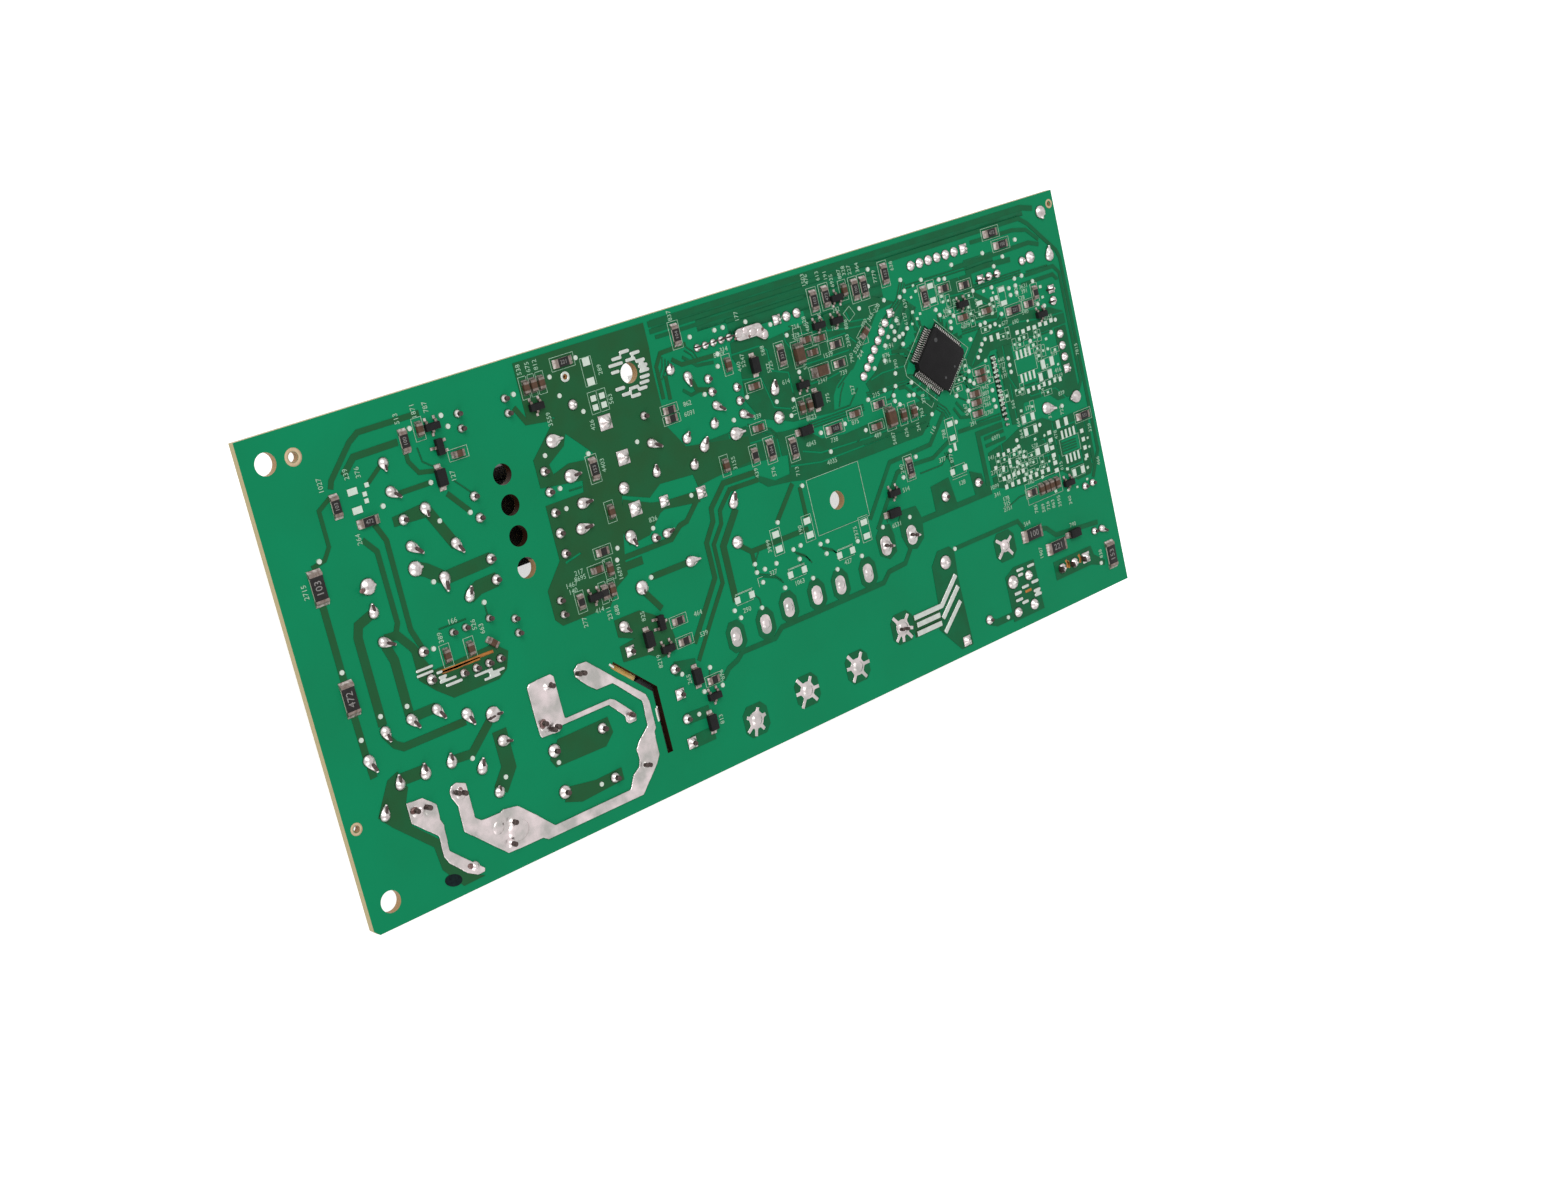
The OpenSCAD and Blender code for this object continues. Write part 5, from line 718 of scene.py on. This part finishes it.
chips_0805 = [
    (87.2, 18.3, 0), (87.2, 20, 0), (130.8, 16.7, 0), (130.7, 20.6, 0), (64.8, 39.2, 0),
    (104.4, 32.2, 90), (138.6, 31.2, 0), (77.6, 57, 0), (77.9, 61.2, 0), (176.1, 61.1, 0),
    (162.8, 12.9, 0), (168.8, 13.6, 0), (82.3, 70.6, 0), (63, 46.6, 90), (57.4, 46.6, 90),
    (188.9, 20.1, 90), (186.5, 21.9, 0), (34.1, 7.2, 90), (40.5, 13.4, 0), (57.3, 6, 90),
    (59, 6, 90), (60.7, 6, 90), (106.9, 27.3, 0), (68.6, 32.7, 90), (96.9, 32.1, 90),
    (32.7, 47, 90), (27.7, 46.6, 90), (135.8, 6.9, 90), (131.7, 31.3, 0), (144.2, 35.1, 90),
    (147.2, 35.1, 90), (136.7, 35.3, 0), (103, 13.7, 90), (123.4, 13.9, 0), (127, 14.5, 0),
    (124.4, 16.7, 0), (118.5, 26.5, 90), (120.5, 26.5, 90), (138.8, 16.3, 40), (108.2, 19.3, 0),
    (165.3, 36.2, 0), (165.3, 38.1, 0), (165, 40.4, 0), (168.1, 32.2, 0), (168.1, 33.8, 0),
    (62.6, 42, 0), (65.2, 42.8, 90), (64.6, 46.6, 90), (173.6, 20.3, 0), (166.5, 20, 0),
    (71, 12.5, 90), (73, 12.5, 90), (94, 57.9, 0), (108.2, 57.3, 0), (121.4, 57.5, 0),
    (156.3, 50.3, 0), (188.4, 35.5, 0), (187, 38, 0), (179.3, 45.4, 0), (179.3, 48.2, 0),
    (181.5, 53.2, 0), (191.2, 60.8, 0), (179.1, 18.5, 90)]
frames = [frame_round(x, y, turn, 5.3, 2.5) for x, y, turn in chips_1206 if x > 50]
frames += [frame_round(x, y, turn, 4.1, 2.05) for x, y, turn in chips_0805 if x > 26]
frames += [frame_round(x, y, 90 * (k % 2), 2.5, 1.2)
           for k, (x, y) in enumerate(pad_dots[:72]) if k % 3]
frames += [frame_round(*place) for place in (
    (122.6, 46.4, 0, 14.1, 11.5), (182, 34.2, 0, 6.4, 3.4), (190.3, 54.5, 0, 6.2, 3.6),
    (179.8, 61.3, 0, 11, 4.6), (121.8, 12.2, 0, 2.1, 2.1), (136, 11.8, 30, 2.2, 2.2),
    (142.6, 12.4, 0, 2.1, 1.5), (138.3, 17.8, 0, 2.4, 1.6))]
frames += [
    [(154.4, 18.9), (147.6, 25.6), (147.6, 27.8), (154.6, 34.8)],
    [(158.2, 18.4), (163.9, 24.3), (166.2, 26.5), (163.9, 28.9), (158.4, 34.6)],
    [(154, 51.9), (158.4, 51.9)], [(92, 56.7), (96.4, 56.7)], [(106, 56.1), (110.4, 56.1)],
    [(119.4, 56.3), (123.6, 56.3)], [(99.5, 55.4), (98.2, 55.4), (98.2, 57.2)],
    [(150.2, 33.4), (152.6, 35.8), (153.4, 35)]]
strokes("legend_frames", frames, 0.1, 0.118, ink, "green_laminate")
numbers = [
    (13.1, 11.2, 90), (18.3, 10.7, 90), (20.5, 11, 90), (30.4, 4.3, 90), (34, 3.9, 90),
    (36.5, 3.9, 90), (38.4, 16.9, 90), (17.4, 22, 90), (5.1, 27.5, 90), (56.9, 2.6, 90),
    (58.9, 2.6, 90), (60.6, 2.6, 90), (60.7, 12.8, 90), (74, 7, 90), (69.5, 16.3, 90),
    (74.8, 12.8, 90), (69.6, 24, 90), (92.3, 1.4, 90), (107.9, 5.4, 90), (103, 10.7, 0),
    (107, 13.9, 90), (112.3, 13.3, 90), (113.5, 16.6, 90), (91.6, 18.3, 0), (91.6, 20.2, 0),
    (107.3, 25.2, 0), (127, 2.6, 90), (130, 2.6, 90), (133.4, 4.4, 90), (135.7, 3.6, 90),
    (138.5, 3.4, 90), (140.7, 3.4, 90), (144.8, 6.2, 90), (149.9, 5.2, 90), (125.8, 26.4, 90),
    (116.7, 26.6, 90), (120.5, 29.1, 0), (27.5, 43.2, 90), (34.6, 43.2, 90), (36, 44.4, 90),
    (56.4, 43, 0), (56.4, 44.2, 0), (57.3, 50.5, 90), (61, 49.4, 0), (62.9, 50.6, 90),
    (64.7, 50.6, 90), (70, 53.6, 90), (67.4, 44.6, 90), (99.2, 32.2, 90), (104, 35.6, 90),
    (108.2, 36.6, 90), (114, 38.2, 90), (102.8, 50.2, 90), (111.4, 49.6, 90), (102.3, 55.5, 0),
    (82.4, 57.2, 0), (118.9, 34, 0), (125, 34.9, 0), (131.4, 33, 0), (138.4, 29.2, 0),
    (140.6, 39, 90), (136.5, 37.2, 0), (144.3, 38.8, 90), (149.6, 36, 90), (136.3, 56.2, 0),
    (140.9, 45.6, 90), (152.4, 47, 0), (140.8, 50, 0), (125.2, 54.4, 90), (154.4, 42, 90),
    (156.5, 53.2, 0), (76.8, 68.6, 90), (71.2, 63, 90), (82.6, 61.4, 0), (84.5, 70.4, 90),
    (81.9, 78.6, 90), (108.2, 59.4, 0), (94, 60.4, 0), (121.5, 59.4, 0), (172.6, 67.2, 0),
    (175, 74.6, 90), (193, 80.5, 90), (168, 60.2, 0), (168, 61.3, 0), (168, 62.4, 0),
    (178.4, 65.4, 90), (180, 65.4, 90), (181.6, 65.4, 90), (183.6, 65.4, 90), (186.9, 66.2, 90),
    (119.6, 8.4, 0), (116.2, 20.6, 0), (128.3, 11, 90), (134.6, 13.6, 90), (143.6, 12.4, 40),
    (141.4, 13.8, 40), (136.2, 18.8, 40), (151.4, 13.4, 90), (153, 31.6, 45), (151.6, 40.4, 45),
    (150.6, 16.4, 90), (145.4, 24.6, 90), (132.6, 26.6, 90), (176.2, 45.6, 90), (168.8, 46.8, 0),
    (166.2, 50.6, 0), (166.2, 53.8, 0), (185.6, 33.2, 90), (198.2, 35, 90), (148.4, 16.3, 90),
    (77.5, 36.9, 0), (30.6, 41.2, 0), (101.6, 11.3, 0), (105.8, 14.8, 90), (112.8, 16.9, 90),
    (121.6, 10.9, 0), (126.2, 2.6, 90), (132, 3, 90), (137, 3.2, 90), (124.6, 11.6, 90),
    (125.4, 22.8, 0), (131.2, 22.7, 0), (143.3, 22.3, 0), (143.3, 23.5, 0), (144.6, 20.7, 0),
    (139.3, 14.6, 40), (143.9, 15.9, 40), (136.6, 20.4, 40), (123.2, 38.9, 0), (147.8, 38.5, 90),
    (150.8, 33.4, 90), (166.2, 18, 0), (166.8, 22, 0), (165.1, 16.7, 90), (171.4, 18.2, 90),
    (177.6, 19.6, 90), (183.6, 18.4, 90), (184.9, 23.4, 0), (178.2, 24.2, 0), (162.2, 30.2, 45),
    (162, 38.8, 90), (163.2, 42.2, 0), (175.2, 34, 90), (175.8, 41.4, 90), (185.4, 40.4, 90),
    (190.8, 43, 0), (180, 43.4, 0), (186, 46.4, 90), (191.4, 26.2, 0), (183.4, 31.2, 90),
    (189.9, 46.6, 90), (176.4, 48.2, 90), (165.4, 56.8, 0), (165.8, 58.6, 0), (186.6, 51.2, 90),
    (186.4, 58.2, 90), (168.4, 35.8, 0), (168.5, 37, 0), (168.5, 38.2, 0), (168.4, 39.4, 0),
    (168.4, 41.2, 0), (174.9, 31.4, 0), (174.9, 32.6, 0), (174.9, 35, 0), (185.9, 18, 0),
    (185.9, 19.1, 0), (184.6, 20.3, 0), (162.4, 17.4, 15), (162.2, 18.5, 15), (166.6, 21.5, 0),
    (191, 34.2, 0), (191.2, 37.9, 0), (191, 39.2, 0), (181.4, 24.7, 0), (187.6, 36.3, 0),
    (172.2, 55.2, 90), (174.4, 53.4, 90), (177.4, 54.2, 90), (179.6, 51.8, 0), (184.4, 52.6, 90),
    (170.2, 56.9, 0), (176.2, 58.9, 0), (197.4, 52.6, 90), (198, 60.4, 90), (176.2, 64.6, 90),
    (186.2, 71.6, 0), (155, 47.4, 90), (58.6, 41.3, 0), (58.6, 42.4, 0), (67.4, 43.3, 90),
    (124.2, 10.4, 90), (131.6, 13.6, 0), (128.2, 18.3, 0), (132.8, 10.2, 0), (121.2, 12.6, 0),
    (121.9, 18.6, 90), (134.2, 16.8, 90), (134.2, 20.4, 90)]


def join_as_mesh(made):
    """Turns texts or curves into one mesh, with its place applied."""
    pick(*reversed(made))
    bpy.ops.object.convert(target="MESH")
    bpy.ops.object.join()
    bpy.ops.object.transform_apply(location=True, rotation=True, scale=True)
    return bpy.context.object


def print_marks(name, marks, raised_mm, material, slot_name):
    """Prints (text, x, y, z, turn, size) as one thin piece."""
    printed = []
    for words, x_mm, y_mm, z_mm, turn, size_mm in marks:
        text = bpy.data.curves.new(name, "FONT")
        text.body = words
        text.size = size_mm / 1000
        text.extrude = raised_mm / 1000
        text.resolution_u = 2
        text.align_x = "CENTER"
        text.align_y = "CENTER"
        printed.append(put_in_scene(name, text))
        printed[-1].matrix_world = turned_at(x_mm, y_mm, z_mm, turn)
    fit_to_board(join_as_mesh(printed), name, material, slot_name)


# The numbers are counted out by a rule, three or four digits each.
ink_mm = 21.66
print_marks("legend_numbers", [
    (str(102 + k * 137 % 797 if k % 4 else 1027 + k * 211 % 8000), x, y, ink_mm, turn, 1.35)
    for k, (x, y, turn) in enumerate(numbers)], 0.058, ink, "green_laminate")

# ---- chip parts ----
# Resistors are white alumina bricks with a black glaze on top; capacitors are
# brown ceramic. Solder has crept up their tinned ends, which are spotted dark
# and bright and turn darker towards their tops.
chip_tin = finish(
    "chip_tin", (0.60, 0.545, 0.51), (0.14, 0.095, 0.08), patch_mm=0.5, amount=0.9, grain_mm=0.25,
    rough=0.4, span=0.2, relief=0.02, metal=0.85)
shade_by_height(chip_tin, 21.98, 22.14, above=(0.15, 0.105, 0.085, 1), most=0.7)
dress(chip_tin, "resistor_ends", "power_resistor_ends", "chip_capacitor_ends",
      "transistor_leads", "diode_leads")
alumina = finish(
    "glazed_alumina", (0.012, 0.011, 0.011), (0.03, 0.026, 0.025), patch_mm=0.6, grain_mm=0.1,
    rough=0.4, relief=0.006, shine=0.2)
shade_by_height(alumina, 22.079, 22.081, below=(0.55, 0.5, 0.44, 1))
ceramic = finish(
    "brown_ceramic", (0.098, 0.052, 0.032), (0.05, 0.027, 0.018), patch_mm=0.9, amount=0.6,
    grain_mm=0.12, rough=0.55, span=0.15, relief=0.012, shine=0.2)


def soften(source, width_mm, material, slot_name, segments=2):
    """A copy of a CAD node with its moulded edges rounded, which stands for the node."""
    made = merged_copy(
        source, (bpy.ops.mesh.dissolve_limited, {"angle_limit": math.radians(1)}))
    shape(made, "BEVEL", width=width_mm / 1000, segments=segments, limit_method="ANGLE",
          angle_limit=math.radians(30))
    bpy.ops.object.shade_smooth_by_angle(angle=math.radians(40))
    fit_to_board(made, source + "_soft", material, slot_name, source)


soften("resistor_bodies", 0.05, alumina, "resistor_glaze")
soften("power_resistor_bodies", 0.07, alumina, "resistor_glaze")
soften("chip_capacitor_bodies", 0.09, ceramic, "ceramic_brown")
value_ink = finish(
    "value_ink", (0.25, 0.24, 0.23), (0.15, 0.14, 0.135), patch_mm=0.3, grain_mm=0.1, rough=0.6,
    relief=0.002)
# Three digits on each resistor that has room: 21 chips, then five power resistors.
power_resistors = [(7.5, 27.5, 90), (7.5, 47.4, 90), (173.5, 69.7, 0), (180, 74.6, 0),
                   (196, 81.6, 90)]
values = ("103", "472", "100", "221", "153", "104", "331")
chip_top_mm, power_top_mm = 22.225, 22.325
print_marks("resistor_values", [
    (values[k % 7], x, y, *((chip_top_mm, turn, 1.05) if k < 21 else (power_top_mm, turn, 1.9)))
    for k, (x, y, turn) in enumerate(chips_1206[:21] + power_resistors)],
            0.01, value_ink, "resistor_glaze")

# ---- moulded chips ----
# Black epoxy with a fine sparkle of silica, shiny where the mould was polished.
# The controller is glossier than the small parts.
epoxy = finish(
    "black_epoxy", (0.0105, 0.0105, 0.011), (0.02, 0.02, 0.02), patch_mm=0.8, amount=0.4,
    grain_mm=0.07, rough=0.55, span=0.12, relief=0.006, shine=0.12)
smooth_epoxy = finish(
    "controller_epoxy", (0.0085, 0.008, 0.0085), (0.014, 0.013, 0.014), patch_mm=2.5,
    grain_mm=0.08, rough=0.5, span=0.08, relief=0.004, shine=0.12)
for body in ("transistor_bodies", "diode_bodies", "switcher_body", "optocoupler_bodies",
             "regulator_bodies"):
    soften(body, 0.09, epoxy, "black_epoxy")
soften("controller_body", 0.14, smooth_epoxy, "black_epoxy", segments=3)
lead_tin = finish(
    "lead_tin", (0.82, 0.79, 0.77), (0.55, 0.5, 0.47), patch_mm=0.5, grain_mm=0.2, span=0.12,
    metal=1.0)
# The controller's leads get a darker copy of the lead tin: rougher, and darkened with painted
# shade for the gaps between the fine leads.
matt_and_shaded_tin = finish(
    "matt_lead_tin_and_shade", (0.56, 0.53, 0.51), (0.34, 0.31, 0.3), patch_mm=0.4, grain_mm=0.2, rough=0.42,
    span=0.12, metal=0.9)
dress(matt_and_shaded_tin, "controller_leads")
dress(lead_tin, "dip_leads", "can_leads", "film_leads", "disc_leads", "axial_leads",
      "wire_jumpers", "relay_pins", "regulator_leads", "buzzer_pins", "transformer_pins",
      "power_pins", "signal_pins")
bpy.ops.mesh.primitive_cylinder_add(vertices=24, radius=0.00042, depth=0.00004,
                                    location=(0, 0, 0.00002))
dot = finish(
    "mould_dot", (0.03, 0.03, 0.032), (0.055, 0.055, 0.055), patch_mm=0.3, grain_mm=0.1,
    relief=0.004)
controller_top_mm = 23.12
repeat("mould_dots", settle(bpy.context.object), [
    (x, y, controller_top_mm, 0, size)
    for x, y, size in ((156.3, 22.4, 1.1), (156.9, 30.6, 0.7), (160, 29, 0.6))],
       dot, "black_epoxy")

# ---- transformer ----
# A ferrite core round a black bobbin, wound and then lapped with polyester
# tape whose edges show as fine steps; the tape's near-black colour is painted
# shade, as it lies in the board's shadow.
ferrite = finish(
    "ferrite", (0.028, 0.028, 0.031), (0.05, 0.048, 0.047), patch_mm=1.5, amount=0.6,
    grain_mm=0.15, rough=0.55, span=0.15, relief=0.03)
bobbin_black = finish(
    "bobbin_black", (0.014, 0.014, 0.014), (0.024, 0.024, 0.024), amount=0.4, grain_mm=0.15,
    rough=0.42)
# The tape's near-black colour is painted shade.
tape = finish(
    "lapped_tape_in_shade", (0.016, 0.013, 0.01), (0.03, 0.025, 0.02), patch_mm=4, grain_mm=0.4, rough=0.28,
    span=0.12)


def add_ridges(material, direction, profile, scale, distortion, detail, depth_mm):
    """Lays bands of relief over a finish's own grain."""
    tree = material.node_tree
    bands = add_node(tree, "ShaderNodeTexWave", {
        "Vector": place_on_board(tree)[0], "Scale": scale, "Distortion": distortion,
        "Detail": detail}, wave_type="BANDS", bands_direction=direction, wave_profile=profile)
    ridges = add_node(tree, "ShaderNodeBump", {
        "Height": bands.outputs["Fac"], "Distance": depth_mm / 1000,
        "Normal": tree.nodes["Bump"].outputs["Normal"]})
    set_inputs(tree, tree.nodes["Principled BSDF"], {"Normal": ridges.outputs["Normal"]})


add_ridges(tape, "X", "SAW", 260.0, 0.6, 1.0, 0.06)
soften("transformer_core", 0.25, ferrite, "ferrite")
soften("transformer_bobbin", 0.12, bobbin_black, "black_bobbin")
soften("transformer_winding", 0.3, tape, "winding_tape", segments=3)

# ---- electrolytic cans ----
# Drawn aluminium cans in shrunk sleeves, each with a pale stripe down the side
# of its negative lead. The bare scored end shows inside the turned-in sleeve.
sleeve = finish(
    "shrunk_sleeve", (0.012, 0.017, 0.032), (0.02, 0.026, 0.045), patch_mm=5, amount=0.4,
    grain_mm=0.8, rough=0.22, span=0.08, relief=0.02, coat=0.3)
can_metal = finish(
    "can_metal", (0.78, 0.79, 0.80), (0.6, 0.61, 0.62), patch_mm=1.5, amount=0.4, grain_mm=0.2,
    metal=1.0)
dress(sleeve, "can_sleeves")
dress(can_metal, "can_tops")
stripe_ink = finish(
    "stripe_ink", (0.62, 0.63, 0.62), (0.5, 0.51, 0.5), patch_mm=1.5, amount=0.4, rough=0.35,
    span=0.08, relief=0.004)
# Each can's middle, diameter and height, and the side its stripe is on.
stripes = []
for x, y, across, tall_mm, side in (
        (25.65, 13.35, 10, 20, 205), (16.4, 37.5, 10, 20, 165), (81.15, 20.4, 10, 20, 60),
        (80.9, 31.5, 10, 20, 300), (89.85, 32.6, 6.3, 11.5, 90), (65.25, 56.5, 8, 12, 210),
        (78.35, 40.4, 5, 11.5, 250), (188.25, 12.6, 6.3, 11.5, 340)):
    long_mm = tall_mm - 4.6
    curve = bpy.data.curves.new("stripe", "CURVE")
    curve.dimensions = "2D"
    curve.extrude = long_mm / 2000
    reach = across / 2000 * 1.004
    arc = [math.radians(side - 17 + 34 * k / 8) for k in range(9)]
    poly_line(curve, [(reach * math.cos(a), reach * math.sin(a), 0) for a in arc])
    stripes.append(put_in_scene("stripe", curve))
    stripes[-1].matrix_world = turned_at(
        x, y, part_side_mm - tall_mm + 0.8 + long_mm / 2, 0)
polarity = join_as_mesh(stripes)
shape(polarity, "SOLIDIFY", thickness=0.00004, offset=1.0)
edit_all(normals_outward)
fit_to_board(polarity, "can_stripes", stripe_ink, "dark_sleeve")

# ---- film and disc capacitors ----
# Film capacitors are potted in small yellow boxes; discs are dipped in a
# glossy lacquer that is thick and uneven.
box_yellow = finish(
    "box_yellow", (0.60, 0.36, 0.03), (0.50, 0.29, 0.025), patch_mm=4, amount=0.4, grain_mm=0.4,
    rough=0.35)
dip_blue = finish(
    "dip_blue", (0.02, 0.085, 0.25), (0.016, 0.06, 0.18), amount=0.6, grain_mm=0.8, rough=0.2,
    span=0.08, relief=0.05, coat=0.4)
soften("film_boxes", 0.25, box_yellow, "film_box", segments=3)
round_off("disc_bodies", 0.22, 4, 0.4, 0.0, dip_blue, "disc_lacquer")

# ---- axial parts ----
# Moulded diodes and resistors on tinned wire, with a silver band at the
# cathode end of each diode.
axial_black = finish(
    "axial_black", (0.013, 0.013, 0.014), (0.024, 0.024, 0.025), patch_mm=1, amount=0.4,
    grain_mm=0.12, rough=0.45)
soften("axial_bodies", 0.14, axial_black, "axial_epoxy", segments=3)
band_ink = finish(
    "band_ink", (0.62, 0.62, 0.63), (0.5, 0.5, 0.51), patch_mm=0.6, amount=0.4, grain_mm=0.2,
    rough=0.4, relief=0.004, metal=0.4)
# The two ends of each part's wire, and its body's length and diameter.
bands = []
for x0, y0, x1, y1, length, across in (
        (12.3, 55.1, 12.3, 65, 5.2, 2.7), (17.65, 54.8, 17.6, 65, 5.2, 2.7),
        (23.05, 54.9, 23.1, 65, 5.2, 2.7), (35.25, 28.2, 35.2, 38.2, 5.2, 2.7),
        (28.5, 57.8, 28.6, 68.3, 5.2, 2.7), (60, 16.7, 72.3, 16.6, 9.4, 5.2),
        (62, 23.9, 74.3, 23.9, 9.4, 5.2), (61.4, 33.8, 74.2, 33.8, 9.4, 5.2),
        (63, 29.4, 72.8, 29.4, 5.2, 2.7), (185.4, 44.9, 195.1, 44.9, 6, 3)):
    bpy.ops.mesh.primitive_cylinder_add(vertices=32, radius=across / 2000 + 0.00002,
                                        depth=0.0008, end_fill_type="NOTHING")
    band = bpy.context.object
    shape(band, "SOLIDIFY", thickness=0.00005, offset=-1.0)
    turn = math.degrees(math.atan2(y0 - y1, x1 - x0))
    band.data.transform(
        turned_at((x0 + x1) / 2, (y0 + y1) / 2, part_side_mm - across / 2 - 0.4, turn)
        @ Matrix.Translation((length / 2000 * 0.62, 0, 0)) @ Matrix.Rotation(math.pi / 2, 4, "Y"))
    bands.append(band)
pick(*reversed(bands))
bpy.ops.object.join()
bpy.ops.object.shade_smooth_by_angle(angle=math.radians(35))
fit_to_board(bpy.context.object, "diode_bands", band_ink, "axial_epoxy")

# ---- relays, buzzer and terminal ----
# Glossy moulded covers over open bases, sealed underneath; the buzzer is a
# matt black pot; the tab terminal is blanked from tinned brass.
relay_shell = finish(
    "relay_shell", (0.016, 0.018, 0.02), (0.024, 0.026, 0.028), patch_mm=6, amount=0.4,
    grain_mm=0.35, span=0.08, relief=0.012)
seal = finish(
    "base_seal", (0.03, 0.03, 0.03), (0.05, 0.048, 0.045), grain_mm=0.4, rough=0.5, span=0.15,
    relief=0.03)
brass = finish(
    "tinned_brass", (0.80, 0.75, 0.62), (0.66, 0.6, 0.46), patch_mm=1.5, grain_mm=0.2, rough=0.28,
    metal=1.0)
soften("relay_cases", 0.35, relay_shell, "relay_plastic", segments=3)
soften("buzzer_case", 0.4, bobbin_black, "buzzer_plastic", segments=3)
soften("tab_terminal", 0.1, brass, "tinned_brass")
dress(seal, "relay_bases", "filter_choke_base")

# ---- headers ----
# Plug headers of natural nylon, slightly milky, with sharp moulded walls and
# latches. The power headers are the bigger ones.
nylon = finish(
    "natural_nylon", (0.74, 0.70, 0.60), (0.66, 0.61, 0.5), patch_mm=5, rough=0.42, relief=0.012)
set_inputs(nylon.node_tree, nylon.node_tree.nodes["Principled BSDF"],
           {"Subsurface Weight": 0.15, "Subsurface Scale": 0.0015})
soften("power_headers", 0.12, nylon, "header_nylon")
soften("signal_headers", 0.08, nylon, "header_nylon")

# ---- regulators and heat sink ----
# Plated copper tabs clamped to a short piece of extruded aluminium, whose
# drawing lines run along the fins.
plated = finish(
    "plated_tab", (0.72, 0.71, 0.70), (0.6, 0.58, 0.56), grain_mm=0.25, rough=0.35, span=0.12,
    relief=0.012, metal=1.0)
extruded = finish(
    "extruded_aluminium", (0.66, 0.67, 0.69), (0.56, 0.57, 0.59), patch_mm=3, amount=0.4,
    rough=0.36, span=0.12, metal=1.0)
add_ridges(extruded, "Y", "SIN", 900.0, 2.0, 2.0, 0.02)
soften("regulator_tabs", 0.12, plated, "plated_copper_tab")
soften("heat_sink", 0.15, extruded, "bare_aluminium")

# ---- filter choke ----
# A ferrite core with enamelled copper wire wound in one layer on each leg.
# The turns are real here, in place of the plain sleeves that held their room.
enamel = finish(
    "enamelled_copper", (0.50, 0.17, 0.045), (0.36, 0.11, 0.03), rough=0.22, span=0.08,
    relief=0.006, metal=0.9)
soften("filter_choke_core", 0.25, ferrite, "ferrite")
wire = bpy.data.curves.new("choke_turns", "CURVE")
wire.dimensions = "3D"
wire.bevel_depth = 0.00036
wire.bevel_resolution = 1
wire.use_fill_caps = True
turns_a_leg, points_a_turn = 20, 14
points_a_leg = turns_a_leg * points_a_turn
for middle_y, hand in ((81.35 - 2.9, 1), (81.35 + 2.9, -1)):
    coil = []
    for k in range(points_a_leg + 1):
        a = hand * 2 * math.pi * k / points_a_turn
        middle = spot(167.2, middle_y, 2.2 + 14.6 * k / points_a_leg)
        coil.append(middle + Vector((0.00232 * math.cos(a), 0.00232 * math.sin(a), 0)))
    poly_line(wire, coil)
for x, y in ((164.85, 78), (169.8, 78), (164.85, 84.6), (169.8, 84.6)):
    poly_line(wire, [spot(x, y, z_mm) for z_mm in (17.25, 18.6, part_side_mm)])
pick(put_in_scene("choke_turns", wire))
bpy.ops.object.convert(target="MESH")
bpy.ops.object.shade_smooth_by_angle(angle=math.radians(50))
fit_to_board(bpy.context.object, "choke_turns", enamel, "enamelled_wire", "filter_choke_coils")
